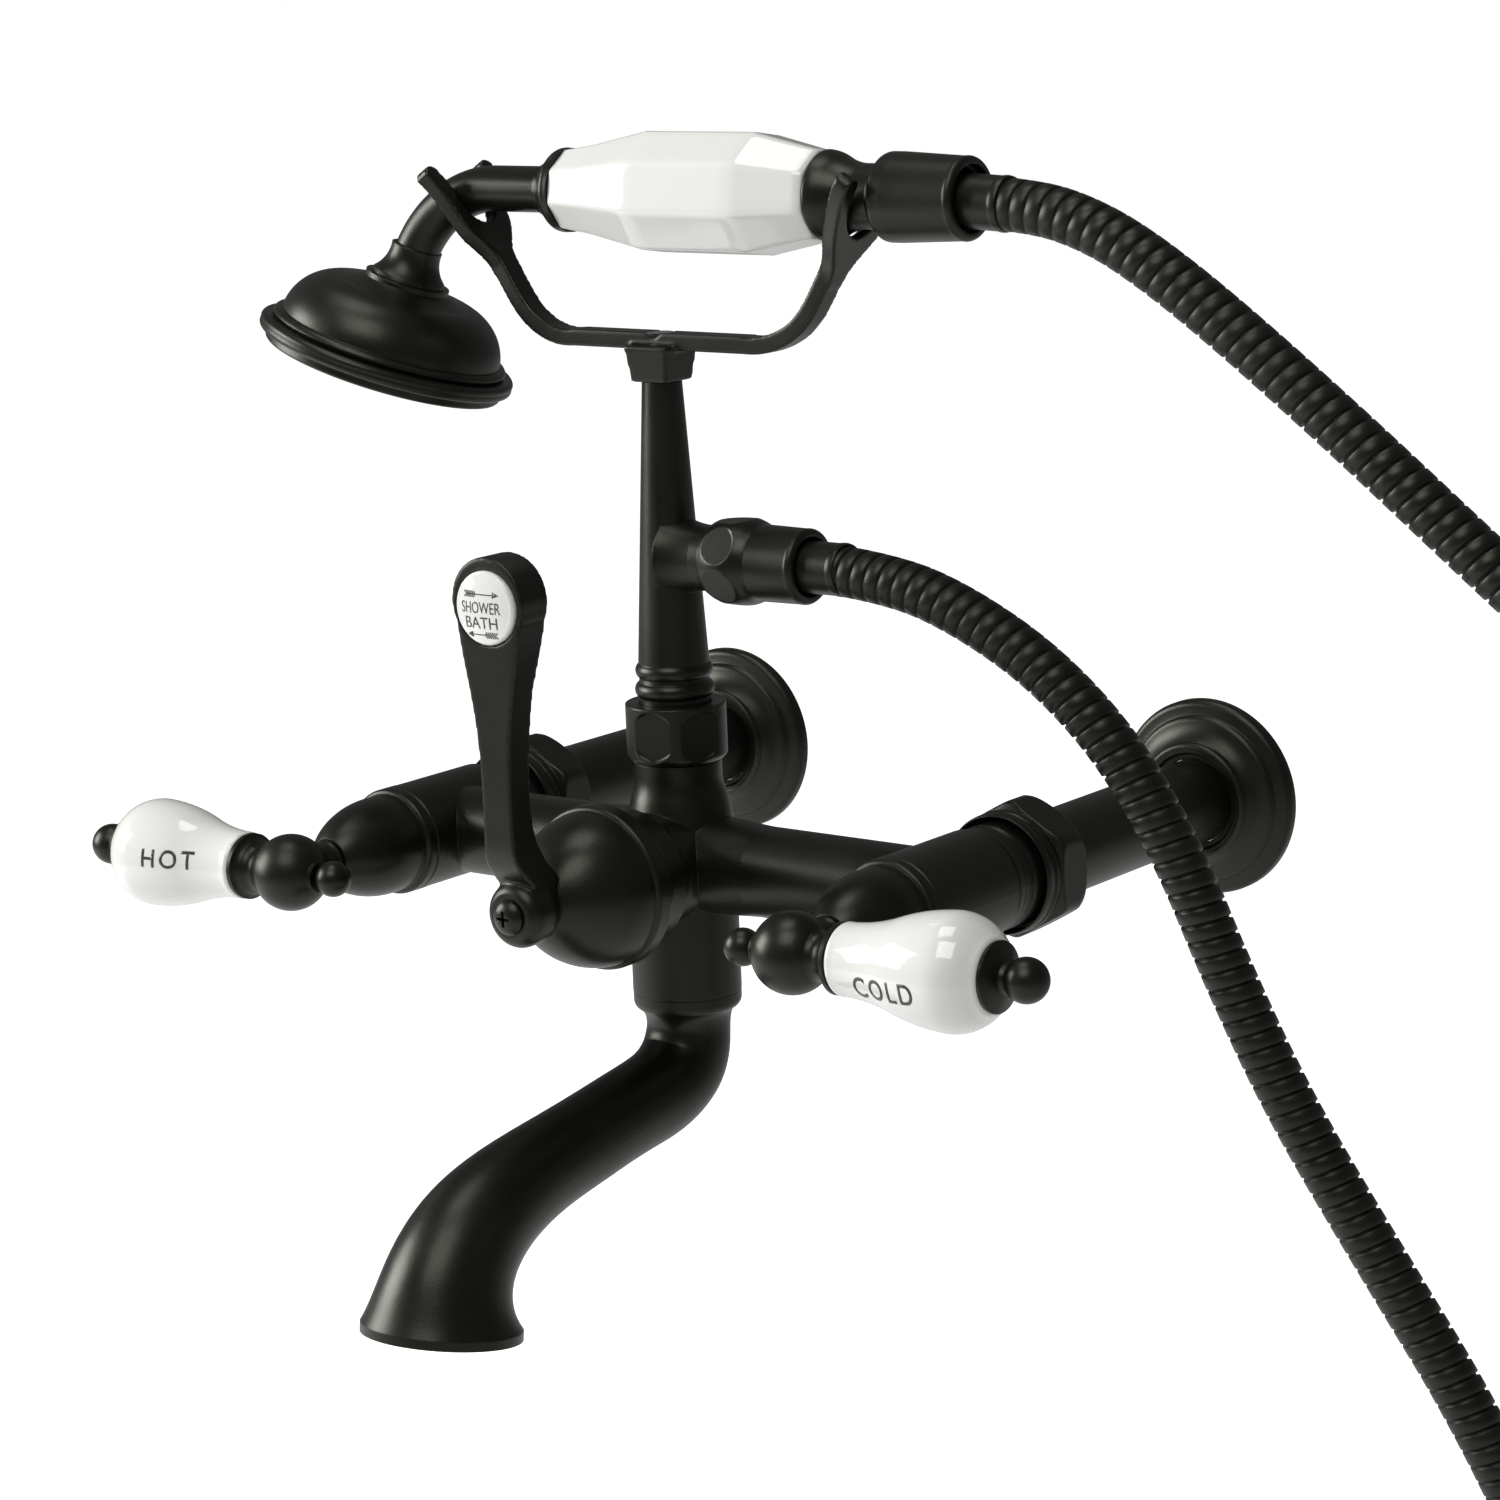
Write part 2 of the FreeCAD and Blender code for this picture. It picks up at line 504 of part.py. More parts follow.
# ---------------------------------------------------------------- cradle
def fork(root, lean, waist):
    """Flat fork in a plane that leans outwards: two prongs about a V-shaped saddle, wider where the waist is."""
    side = 1 if root[0] > 0 else -1
    a = math.radians(lean)
    up = V(side * math.sin(a), 0, math.cos(a))

    def at(y, u):
        return V(root[0], 0, root[1]) + up * u + V(0, y, 0)

    prong_r = 2.7
    tip_y = waist + 4.6
    tip_u = 25.0
    edges = []
    for way in (-1, 1):
        outer = Part.BSplineCurve()
        outer.interpolate([at(way * CRADLE_DEPTH / 2, -7.0), at(way * 4.6, -1.0), at(way * 8.6, 5.5),
                           at(way * (tip_y - 1.0), 13.5), at(way * (tip_y + prong_r), tip_u)])
        inner = Part.BSplineCurve()
        inner.interpolate([at(0, 8.2), at(way * 4.4, 10.2), at(way * (waist - 0.9), 14.4),
                           at(way * (tip_y - prong_r), tip_u)], InitialTangent=V(0, way, 0))
        crown = Part.Arc(at(way * (tip_y + prong_r), tip_u), at(way * tip_y, tip_u + prong_r),
                         at(way * (tip_y - prong_r), tip_u))
        edges += [outer.toShape(), crown.toShape(), inner.toShape()]
    edges.append(Part.LineSegment(at(-CRADLE_DEPTH / 2, -7.0), at(CRADLE_DEPTH / 2, -7.0)).toShape())
    face = Part.Face(Part.Wire(Part.__sortEdges__(edges)))
    normal = V(math.cos(a), 0, -side * math.sin(a))
    face.translate(normal * (-CRADLE_THICK / 2))
    return face.extrude(normal * CRADLE_THICK)


def cradle():
    """Cast U-shaped holder: a square foot on the riser, a flat bar, and a two-pronged fork at each end."""
    z = CRADLE_BAR_Z
    foot_low = Part.makePolygon([V(x, y, RISER_TOP_Z) for x, y in ((-6, -6), (6, -6), (6, 6), (-6, 6), (-6, -6))])
    foot_high = Part.makePolygon([V(x, y, z - 1) for x, y in ((-7.4, -7.4), (7.4, -7.4), (7.4, 7.4), (-7.4, 7.4),
                                                            (-7.4, -7.4))])
    foot = lofted([foot_low, foot_high], True)

    def strip(points):
        """Half of the U: straight from the middle, round the corner and out to where the fork begins."""
        curve = Part.BSplineCurve()
        knots = [V(x, 0, h) for x, h in points]
        curve.interpolate(knots, InitialTangent=V(points[0][0], 0, 0))
        path = Part.Wire([Part.LineSegment(V(0, 0, z), knots[0]).toShape(), curve.toShape()])
        d = CRADLE_DEPTH / 2
        t = CRADLE_THICK / 2
        corners = [V(0, y, z + h) for y, h in ((-d, -t), (d, -t), (d, t), (-d, t), (-d, -t))]
        return path.makePipeShell([Part.makePolygon(corners)], True, False)

    left = strip([(-29.0, z), (-38.0, 148.4), (-45.2, 152.8), (-51.0, 160.0), (-57.6, 170.2)])
    right = strip([(31.0, z), (41.5, 148.6), (49.4, 153.0), (55.4, 160.4), (61.6, 170.4)])
    forks = [fork((-58.1, 170.5), 33.0, NECK_R + 0.6), fork((61.9, 170.6), 31.5, 9.1)]
    made = foot.fuse([left, right] + forks)
    hole = rod(3.5, (0, 0, 130), (0, 0, 140.2)).fuse(rod(2.1, (0, 0, 130), (0, 0, 160)))
    sink = turned([(0, z - 0.6), (2.1, z - 0.6), (4.3, z + 2.5), (0, z + 2.5)])
    made = made.cut([hole, sink])
    made.translate(V(0, AXIS_Y, 0))
    neck_room = rolled(tube_along(neck_wire(), NECK_R + 0.35))
    bell_room = along_hand(turned([(0, 56.0), (12.6, 56.0), (12.6, 60.5), ((12.2, 62.4), (11.3, 64.6)),
                                   ((9.8, 68.0), (9.1, 72.0)), (9.1, 77.0), (0, 77.0)]))
    return made.cut([neck_room, bell_room])


def cradle_screw():
    z = CRADLE_BAR_Z
    head = turned([(0, z - 0.5), (2.0, z - 0.5), (4.0, z + 2.2), (0, z + 2.2)])
    shank = rod(1.65, (0, 0, 124), (0, 0, z))
    slot = Part.makeBox(7.0, 0.9, 1.0, V(-3.5, -0.45, z + 1.5))
    made = head.fuse(shank).cut(slot)
    made.translate(V(0, AXIS_Y, 0))
    return made


# ---------------------------------------------------------------- hose ends at the riser
def lower_hose_nut():
    """Barrel-shaped nut with round flats and a round sleeve beyond it."""
    body = turned([
        (0, 17.0), (10.0, 17.0), ((12.4, 24.0), (10.9, 32.6)), (10.5, 33.6), (10.4, 47.4),
        ((10.1, 49.0), (8.9, 49.6)), (0, 49.6),
    ])
    hole = turned([(0, 15), (8.4, 15), (8.4, 31.2), (7.3, 31.2), (7.3, 44.0), (8.2, 44.0), (8.2, 51), (0, 51)])
    nut = body.cut([hole] + round_flats(11.3, 5.8, 24.0))
    nut.rotate(V(0, 0, 0), V(0, 0, 1), 30)
    return aim(nut, (0, AXIS_Y, OUTLET_Z), (1, 0, 0))


def lower_hose_washer():
    return aim(ring(8.2, 4.6, 27.05, 28.95), (0, AXIS_Y, OUTLET_Z), (1, 0, 0))


def lower_ferrule():
    crimp = turned([(4.2, 29.0), (8.2, 29.0), (8.2, 31.1), (7.2, 31.1), (7.2, 59.0), ((7.4, 60.2), (7.2, 61.4)),
                    (6.75, 61.4), (6.75, 54.0), (4.2, 54.0)])
    return aim(crimp, (0, AXIS_Y, OUTLET_Z), (1, 0, 0))


# ---------------------------------------------------------------- hand shower
def rolled(shape):
    """Turns a piece of the hand shower about the shower's own axis, as it lies in the cradle."""
    shape.rotate(V(0, AXIS_Y, HAND_Z), V(1, 0, 0), HAND_ROLL)
    return shape


def along_hand(shape):
    """A piece made along +Z is laid along +X on the hand shower's axis."""
    return rolled(aim(shape, (0, AXIS_Y, HAND_Z), (1, 0, 0)))


def head_axis(t):
    """A point t millimetres above the middle of the shower face, along the head's own axis."""
    a = math.radians(HEAD_TILT)
    return (FACE_X + t * math.sin(a), AXIS_Y, FACE_Z + t * math.cos(a))


def neck_wire():
    """Straight out of the collar, one round bend, then down the head's axis."""
    a = math.radians(HEAD_TILT)
    corner_t = (HAND_Z - FACE_Z) / math.cos(a)
    corner = V(*head_axis(corner_t))
    bend_r = 32.0
    half = math.radians(90 - HEAD_TILT) / 2
    reach = bend_r * math.tan(half)
    start = V(-36.4, AXIS_Y, HAND_Z)
    enter = corner + V(reach, 0, 0)
    leave = V(*head_axis(corner_t - reach))
    middle_way = (enter + leave) * 0.5 - corner
    middle = corner + middle_way.normalize() * (bend_r / math.cos(half) - bend_r)
    end = V(*head_axis(30.0))
    return Part.Wire([Part.LineSegment(start, enter).toShape(), Part.Arc(enter, middle, leave).toShape(),
                      Part.LineSegment(leave, end).toShape()])


def hand_neck():
    wire = neck_wire()
    return rolled(tube_along(wire, NECK_R).cut(tube_along(wire, 4.6)))


def front_collar():
    collar = turned([
        (NECK_R + 0.05, -37.8), (7.4, -37.8), (7.5, -36.4), ((8.6, -35.4), (10.6, -32.6)),
        ((11.5, -31.8), (11.6, -30.4)), (11.6, -29.1), (5.6, -29.1), (5.6, -36.3), (NECK_R + 0.05, -36.3),
    ])
    return along_hand(collar)


def grip():
    """Eight-sided porcelain sleeve that tapers to both ends."""
    def octagon(r, at):
        corners = [math.radians(45 * k + 22.5) for k in range(9)]
        return Part.makePolygon([V(r * math.cos(t), r * math.sin(t), at) for t in corners])
    low, high = GRIP_ENDS
    body = lofted([octagon(12.0, low), octagon(13.2, -18.5), octagon(17.4, 1.0), octagon(17.4, 38.0),
                   octagon(13.0, high)], True)
    return along_hand(body.cut(rod(6.0, (0, 0, low - 1), (0, 0, high + 1))))


def grip_tube():
    return along_hand(ring(5.5, 4.0, -36.2, 64.0))


def rear_collar():
    """Bell that closes the grip, with a waist that rests in the cradle and a thread for the hose nut."""
    bell = turned([
        (5.6, 58.7), (11.7, 58.7), (12.2, 59.6), ((11.9, 61.4), (10.9, 64.0)), ((9.4, 67.6), (8.7, 71.6)),
        (8.7, 77.6), (8.6, 91.0), (4.0, 91.0), (4.0, 64.4), (5.6, 64.4),
    ])
    return along_hand(bell)


def upper_hose_nut():
    sleeve = turned([
        (8.85, 77.6), (9.4, 77.6), (11.0, 79.2), ((11.6, 79.8), (11.9, 81.0)), (11.9, 84.0), (11.0, 103.4),
        ((10.8, 104.9), (9.8, 105.5)), (9.0, 105.5), (8.8, 102.6), (8.1, 102.6), (8.1, 96.2), (8.85, 96.2),
    ])
    return along_hand(sleeve)


def upper_hose_washer():
    return along_hand(ring(8.7, 4.6, 91.05, 92.95))


def upper_ferrule():
    crimp = turned([(4.2, 93.6), (8.6, 93.6), (8.6, 95.5), (7.2, 95.5), (7.2, 114.6), ((7.4, 115.8), (7.2, 117.0)),
                    (6.75, 117.0), (6.75, 108.8), (4.2, 108.8)])
    tube = aim(crimp, (0, AXIS_Y, HAND_Z), (1, 0, 0))
    tube.rotate(V(93.6, AXIS_Y, HAND_Z), V(0, 1, 0), UPPER_FERRULE_TILT)
    return tube


def on_head(shape):
    a = math.radians(HEAD_TILT)
    return rolled(aim(shape, (FACE_X, AXIS_Y, FACE_Z), (math.sin(a), 0, math.cos(a))))


def head_socket():
    """Flared socket between the neck tube and the shower head."""
    socket = turned([
        (4.6, 27.0), (10.8, 27.0), (10.4, 28.2), ((8.2, 31.2), (7.4, 36.5)), (NECK_R + 0.05, 36.9),
        (NECK_R + 0.05, 30.0), (4.6, 30.0),
    ])
    return on_head(socket)


def head_shell():
    """Bell-shaped shell, open at the face."""
    shell = turned([
        (31.6, 6.9), (34.0, 6.9), (34.6, 8.0), ((33.8, 9.3), (32.4, 9.6)), ((29.2, 17.6), (20.5, 23.0)),
        ((14.4, 24.4), (12.3, 25.4)), (12.3, 26.95), (4.6, 26.95), (4.6, 22.6), ((17.0, 21.4), (26.6, 15.4)),
        ((29.9, 11.8), (30.8, 8.4)),
    ])
    return on_head(shell)


def head_ring():
    """Half-round ring that clamps the face plate to the shell."""
    band = turned([
        (33.4, 2.6), (35.6, 2.6), ((37.3, 3.2), (HEAD_RING_R, 4.7)), ((37.3, 6.2), (35.6, 6.85)), (33.4, 6.85),
    ])
    return on_head(band)


def face_plate():
    """Perforated spray face: rings of holes about a middle one."""
    plate = turned([(0, 0.9), (27.0, 0.9), (32.6, 0.0), (FACE_R - 0.5, 0), (FACE_R, 0.5), (FACE_R, 2.55), (0, 2.9)])
    holes = [rod(0.9, (0, 0, -1), (0, 0, 4))]
    for k, r in ((6, 5.0), (12, 10.0), (18, 15.0), (24, 20.0), (30, 25.0)):
        for i in range(k):
            a = 2 * math.pi * i / k
            holes.append(rod(0.7, (r * math.cos(a), r * math.sin(a), -1), (r * math.cos(a), r * math.sin(a), 4)))
    return on_head(plate.cut(holes))


def head_gasket():
    return on_head(ring(31.4, 28.6, 3.0, 6.8))


# ---------------------------------------------------------------- spout
SPOUT_PATH = [  # (y, z, outside radius, direction of the section's axis in degrees below horizontal, forwards)
    (-139.8, -42.5, 13.9, 90), (-139.8, -46.0, 12.1, 90), (-140.6, -52.0, 12.2, 78), (-144.0, -58.8, 12.6, 48),
    (-151.3, -63.4, 12.6, 22), (-168.0, -66.6, 12.5, 9), (-190.0, -69.9, 12.6, 9), (-209.5, -73.0, 13.2, 11),
    (-224.0, -76.6, 14.3, 20), (-237.0, -82.6, 15.8, 38), (-245.2, -90.6, 17.3, 58), (-248.8, -98.2, 19.2, 72),
]
SPOUT_LIP = (-250.2, -104.4, 22.0)
LIP_TILT = 10.7


def spout():
    """Cast spout: collar, tight bend, long gentle fall and a flared mouth; hollow from end to end."""
    def section(y, z, r, down, wall=0.0):
        a = math.radians(down)
        return circle(r - wall, (0, y, z), (0, -math.cos(a), -math.sin(a)))
    y, z, r = SPOUT_LIP
    down = 90 - LIP_TILT
    lip = [section(y, z, r, down), section(y - 0.3, z - 2.6, r, down)]
    outer = lofted([section(*s) for s in SPOUT_PATH] + lip[:1])
    edge = lofted(lip, True)
    inner_path = [section(y_, z_, r_, d_, 2.6) for y_, z_, r_, d_ in SPOUT_PATH[1:]]
    inner_lip = section(y, z, r, down, 2.2)
    end_lip = section(y - 0.8, z - 4.0, r, down, 2.2)
    inner = lofted(inner_path + [inner_lip])
    mouth = lofted([inner_lip, end_lip], True)
    collar = turned([(0, -42.6), (13.9, -42.6), ((15.0, -41.6), (15.4, -40.2)), (15.4, BODY_BOTTOM - 0.1),
                     (10.5, BODY_BOTTOM - 0.1), (10.5, -21.0), (0, -21.0)])
    collar.translate(V(0, AXIS_Y, 0))
    groove = aim(ring(12.0, 9.3, -31.0, -28.8), (0, AXIS_Y, 0), (0, 0, 1))
    top = rod(8.0, (0, AXIS_Y, -46.5), (0, AXIS_Y, -20))
    made = outer.fuse([edge, collar])
    return made.cut([inner, mouth, top, groove])


def spout_o_ring():
    seal = Part.makeTorus(9.95, 0.62, V(0, AXIS_Y, -29.9))
    return seal


# ---------------------------------------------------------------- hose
def hose():
    """Tube of straight runs and tangent arcs; each arc is as large as its two runs allow."""
    pts = [V(*p) for p in HOSE_ROUTE]
    edges = []
    here = pts[0]
    length = 0.0
    for i in range(1, len(pts) - 1):
        back = pts[i - 1] - pts[i]
        ahead = pts[i + 1] - pts[i]
        turn = math.pi - back.getAngle(ahead)
        reach = 0.45 * min(back.Length, ahead.Length)
        radius = reach / math.tan(turn / 2)
        enter = pts[i] + back.normalize() * reach
        leave = pts[i] + ahead.normalize() * reach
        bisect = (enter + leave) * 0.5 - pts[i]
        middle = pts[i] + bisect.normalize() * (radius / math.cos(turn / 2) - radius)
        edges.append(Part.LineSegment(here, enter).toShape())
        edges.append(Part.Arc(enter, middle, leave).toShape())
        length += (enter - here).Length + radius * turn
        here = leave
        print("hose bend", i, "turn", round(math.degrees(turn), 1), "radius", round(radius, 1))
    edges.append(Part.LineSegment(here, pts[-1]).toShape())
    length += (pts[-1] - here).Length
    tube = tube_along(Part.Wire(edges), HOSE_R)
    expected = math.pi * HOSE_R ** 2 * length
    print("hose length", round(length, 1), "volume ratio", round(tube.Volume / expected, 4))
    return tube


# ---------------------------------------------------------------- build
for side_name, x in (("left", -INLET_X), ("right", INLET_X)):
    save(side_name + "_wall_flange", wall_flange(x))
    save(side_name + "_wall_arm", wall_arm(x))
    save(side_name + "_union_washer", union_washer(x))
    save(side_name + "_union_nut", union_nut(x))
save("valve_body", valve_body())
for water, x, side in (("hot", -INLET_X, -1), ("cold", INLET_X, 1)):
    tilt = LEVER_LIFT[water]
    save(water + "_bonnet", bonnet(x))
    save(water + "_cartridge", cartridge(x))
    save(water + "_stem", stem(x))
    save(water + "_lever_hub", lever_hub(x, side, tilt))
    save(water + "_rear_finial", rear_finial(x, side, tilt))
    save(water + "_grub_screw", grub_screw(x))
    save(water + "_lever_rod", lever_rod(x, side, tilt))
    save(water + "_porcelain", lever_porcelain(x, side, tilt))
    save(water + "_end_cap", lever_cap(x, side, tilt))
save("diverter_bonnet", diverter_bonnet())
save("diverter_cartridge", diverter_cartridge())
save("diverter_stem", diverter_stem())
save("diverter_lever", diverter_lever())
save("diverter_screw", diverter_screw())
save("diverter_button", diverter_button())
save("riser", riser())
save("riser_nut", riser_nut())
save("riser_washer", riser_washer())
save("cradle", cradle())
save("cradle_screw", cradle_screw())
save("lower_hose_nut", lower_hose_nut())
save("lower_hose_washer", lower_hose_washer())
save("lower_hose_ferrule", lower_ferrule())
save("hand_neck", hand_neck())
save("hand_front_collar", front_collar())
save("hand_grip", grip())
save("hand_grip_tube", grip_tube())
save("hand_rear_collar", rear_collar())
save("upper_hose_nut", upper_hose_nut())
save("upper_hose_washer", upper_hose_washer())
save("upper_hose_ferrule", upper_ferrule())
save("head_socket", head_socket())
save("head_shell", head_shell())
save("head_ring", head_ring())
save("head_face_plate", face_plate())
save("head_gasket", head_gasket())
save("spout", spout())
save("spout_o_ring", spout_o_ring())
save("hose", hose())
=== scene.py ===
import json
import math

import bmesh
import bpy
import numpy as np
from mathutils import Matrix, Vector


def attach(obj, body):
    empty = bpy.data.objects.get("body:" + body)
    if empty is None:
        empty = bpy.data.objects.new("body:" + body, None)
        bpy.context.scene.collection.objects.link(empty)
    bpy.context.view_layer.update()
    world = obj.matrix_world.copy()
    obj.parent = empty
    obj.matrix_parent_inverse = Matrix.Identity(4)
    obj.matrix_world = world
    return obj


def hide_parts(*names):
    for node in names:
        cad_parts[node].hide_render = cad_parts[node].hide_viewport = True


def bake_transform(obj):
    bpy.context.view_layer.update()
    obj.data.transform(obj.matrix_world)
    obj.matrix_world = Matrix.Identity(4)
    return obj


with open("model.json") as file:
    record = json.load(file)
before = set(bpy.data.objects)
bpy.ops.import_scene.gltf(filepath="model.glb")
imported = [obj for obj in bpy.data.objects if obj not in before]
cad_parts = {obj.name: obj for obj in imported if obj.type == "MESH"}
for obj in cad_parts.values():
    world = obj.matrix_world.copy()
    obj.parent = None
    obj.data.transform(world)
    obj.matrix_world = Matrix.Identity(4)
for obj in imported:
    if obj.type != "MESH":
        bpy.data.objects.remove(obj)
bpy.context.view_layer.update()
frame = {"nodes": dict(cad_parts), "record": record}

# The camera stands in front and to the right of the faucet, a little above it, and looks at the riser.
az, el, roll = math.radians(37.95), math.radians(12.11), math.radians(-2.21)
backward = Vector((math.sin(az) * math.cos(el), -math.cos(az) * math.cos(el), math.sin(el)))
rightward = Vector((math.cos(az), math.sin(az), 0.0))
upward = backward.cross(rightward)
cam_x = rightward * math.cos(roll) + upward * math.sin(roll)
cam_y = upward * math.cos(roll) - rightward * math.sin(roll)
camera = bpy.data.objects.new("camera", bpy.data.cameras.new("camera"))
camera.data.lens = 98.447
camera.data.sensor_width = 36.0
camera.data.clip_start = 0.05
turned_to = Matrix((cam_x, cam_y, backward)).transposed().to_4x4()
camera.matrix_world = Matrix.Translation((0.70999, -1.01706, 0.27295)) @ turned_to
bpy.context.scene.collection.objects.link(camera)
bpy.context.scene.camera = camera


# ------------------------------------------------------------ hose
# A metal shower hose: one strip of brass, folded into a flat band and wound into a helix whose turns hook
# over each other, then coated black. It is crimped into a ferrule at each end and hangs in a long loop.
hose_route = [
    (0.0540, -0.1398, 0.0874), (0.0770, -0.1398, 0.0862), (0.1000, -0.1390, 0.0786),
    (0.1240, -0.1375, 0.0650), (0.1445, -0.1355, 0.0452), (0.1605, -0.1330, 0.0185),
    (0.1736, -0.1300, -0.0142), (0.1895, -0.1270, -0.0471), (0.2120, -0.1230, -0.0835),
    (0.2405, -0.1180, -0.1280), (0.2645, -0.1150, -0.1780), (0.2810, -0.1120, -0.2330),
    (0.2910, -0.1100, -0.2910), (0.2945, -0.1085, -0.3460), (0.2950, -0.1080, -0.3930),
    (0.3165, -0.1075, -0.4305), (0.3535, -0.1070, -0.4520), (0.3965, -0.1070, -0.4520),
    (0.4335, -0.1075, -0.4305), (0.4550, -0.1080, -0.3930), (0.4590, -0.1085, -0.3460),
    (0.4570, -0.1095, -0.2880), (0.4490, -0.1110, -0.2260), (0.4340, -0.1130, -0.1620),
    (0.4110, -0.1155, -0.0980), (0.3780, -0.1180, -0.0360), (0.3380, -0.1210, 0.0180),
    (0.2940, -0.1245, 0.0620), (0.2500, -0.1280, 0.0980), (0.2112, -0.1330, 0.1318),
    (0.1753, -0.1370, 0.1609), (0.1535, -0.1390, 0.1759), (0.1390, -0.1396, 0.1826),
    (0.1250, -0.1398, 0.186154), (0.1090, -0.1398, 0.186993),
]
hose_pitch = 0.0045
hose_colour = (0.0048, 0.0048, 0.0040, 1.0)


def points_of_route(name, route):
    """The points of the smooth curve whose control points are the route, read from Blender's own NURBS."""
    curve = bpy.data.curves.new(name + "_route", "CURVE")
    curve.dimensions = "3D"
    spline = curve.splines.new("NURBS")
    spline.points.add(len(route) - 1)
    for point, place in zip(spline.points, route):
        point.co = (*place, 1.0)
    spline.order_u = 3
    spline.use_endpoint_u = True
    spline.resolution_u = 24
    holder = bpy.data.objects.new(name + "_route", curve)
    mesh = bpy.data.meshes.new_from_object(holder)
    line = np.array([v.co for v in mesh.vertices], float)
    bpy.data.objects.remove(holder)
    bpy.data.curves.remove(curve)
    bpy.data.meshes.remove(mesh)
    return line


def path_frames(line, step):
    """Evenly spaced points on a line, with its direction and two normals carried along without twist."""
    reach = np.concatenate([[0.0], np.cumsum(np.linalg.norm(np.diff(line, axis=0), axis=1))])
    count = int(round(reach[-1] / step)) + 1
    at = np.linspace(0.0, reach[-1], count)
    centre = np.stack([np.interp(at, reach, line[:, k]) for k in range(3)], axis=1)
    along = np.gradient(centre, axis=0)
    along /= np.linalg.norm(along, axis=1, keepdims=True)
    first = np.empty_like(along)
    normal = np.cross(along[0], (0.0, 1.0, 0.0))
    for i in range(count):
        normal = normal - along[i] * np.dot(normal, along[i])
        normal = normal / np.linalg.norm(normal)
        first[i] = normal
    return at, centre, along, first, np.cross(along, first)


def mesh_object(name, points, faces, smooth=True):
    """One object at the origin from arrays of points and faces."""
    mesh = bpy.data.meshes.new(name)
    mesh.from_pydata(points.reshape(-1, 3).tolist(), [], faces.tolist())
    mesh.update()
    mesh.shade_smooth() if smooth else mesh.shade_flat()
    piece = bpy.data.objects.new(name, mesh)
    bpy.context.scene.collection.objects.link(piece)
    return piece


def closed_up(piece, reach=1e-6):
    """Joins doubled points, caps open ends and turns the faces outwards."""
    work = bmesh.new()
    work.from_mesh(piece.data)
    bmesh.ops.remove_doubles(work, verts=work.verts, dist=reach)
    open_edges = [e for e in work.edges if e.is_boundary]
    if open_edges:
        bmesh.ops.holes_fill(work, edges=open_edges, sides=0)
    bmesh.ops.recalc_face_normals(work, faces=work.faces)
    work.to_mesh(piece.data)
    work.free()
    piece.data.shade_smooth()
    return piece


def wound_hose(name, line, pitch, around=32):
    """Radius follows a flat band and a groove across each turn of the strip: r = band(s / pitch + angle
    / 2 pi). The grid's rows run along the helix, so a row that has gone once round meets the row one
    turn further on."""
    across = np.array([0.00, 0.09, 0.14, 0.21, 0.90, 0.955])
    radius = np.array([6.05, 6.05, 6.70, 6.90, 6.93, 6.65]) * 0.001
    at, centre, along, first, second = path_frames(line, 0.002)
    turns = int(at[-1] / pitch) + 2
    rows = (np.arange(-1, turns)[:, None] + across[None, :]).reshape(-1)
    r_rows = np.tile(radius, turns + 1)
    share = np.arange(around) / around
    s = np.clip((rows[:, None] + share[None, :]) * pitch, 0.0, at[-1])
    angle = -2.0 * np.pi * share[None, :] + 0.0 * s

    def carried(values):
        return np.stack([np.interp(s, at, values[:, k]) for k in range(3)], axis=2)

    out = carried(first) * np.cos(angle)[..., None] + carried(second) * np.sin(angle)[..., None]
    points = carried(centre) + out * r_rows[:, None, None]
    n_rows = len(rows)
    i, j = np.meshgrid(np.arange(n_rows - 1), np.arange(around), indexing="ij")
    shift = np.where(j == around - 1, len(across), 0)
    j2 = (j + 1) % around
    quads = np.stack([i * around + j, (i + 1) * around + j, (i + 1 + shift) * around + j2,
                      (i + shift) * around + j2], axis=2).reshape(-1, 4)
    quads = quads[(quads < n_rows * around).all(axis=1)]
    s_flat = s.reshape(-1)
    kept = quads[np.ptp(s_flat[quads], axis=1) > 1e-7]
    piece = mesh_object(name, points, kept)
    return closed_up(piece, 2e-6), centre


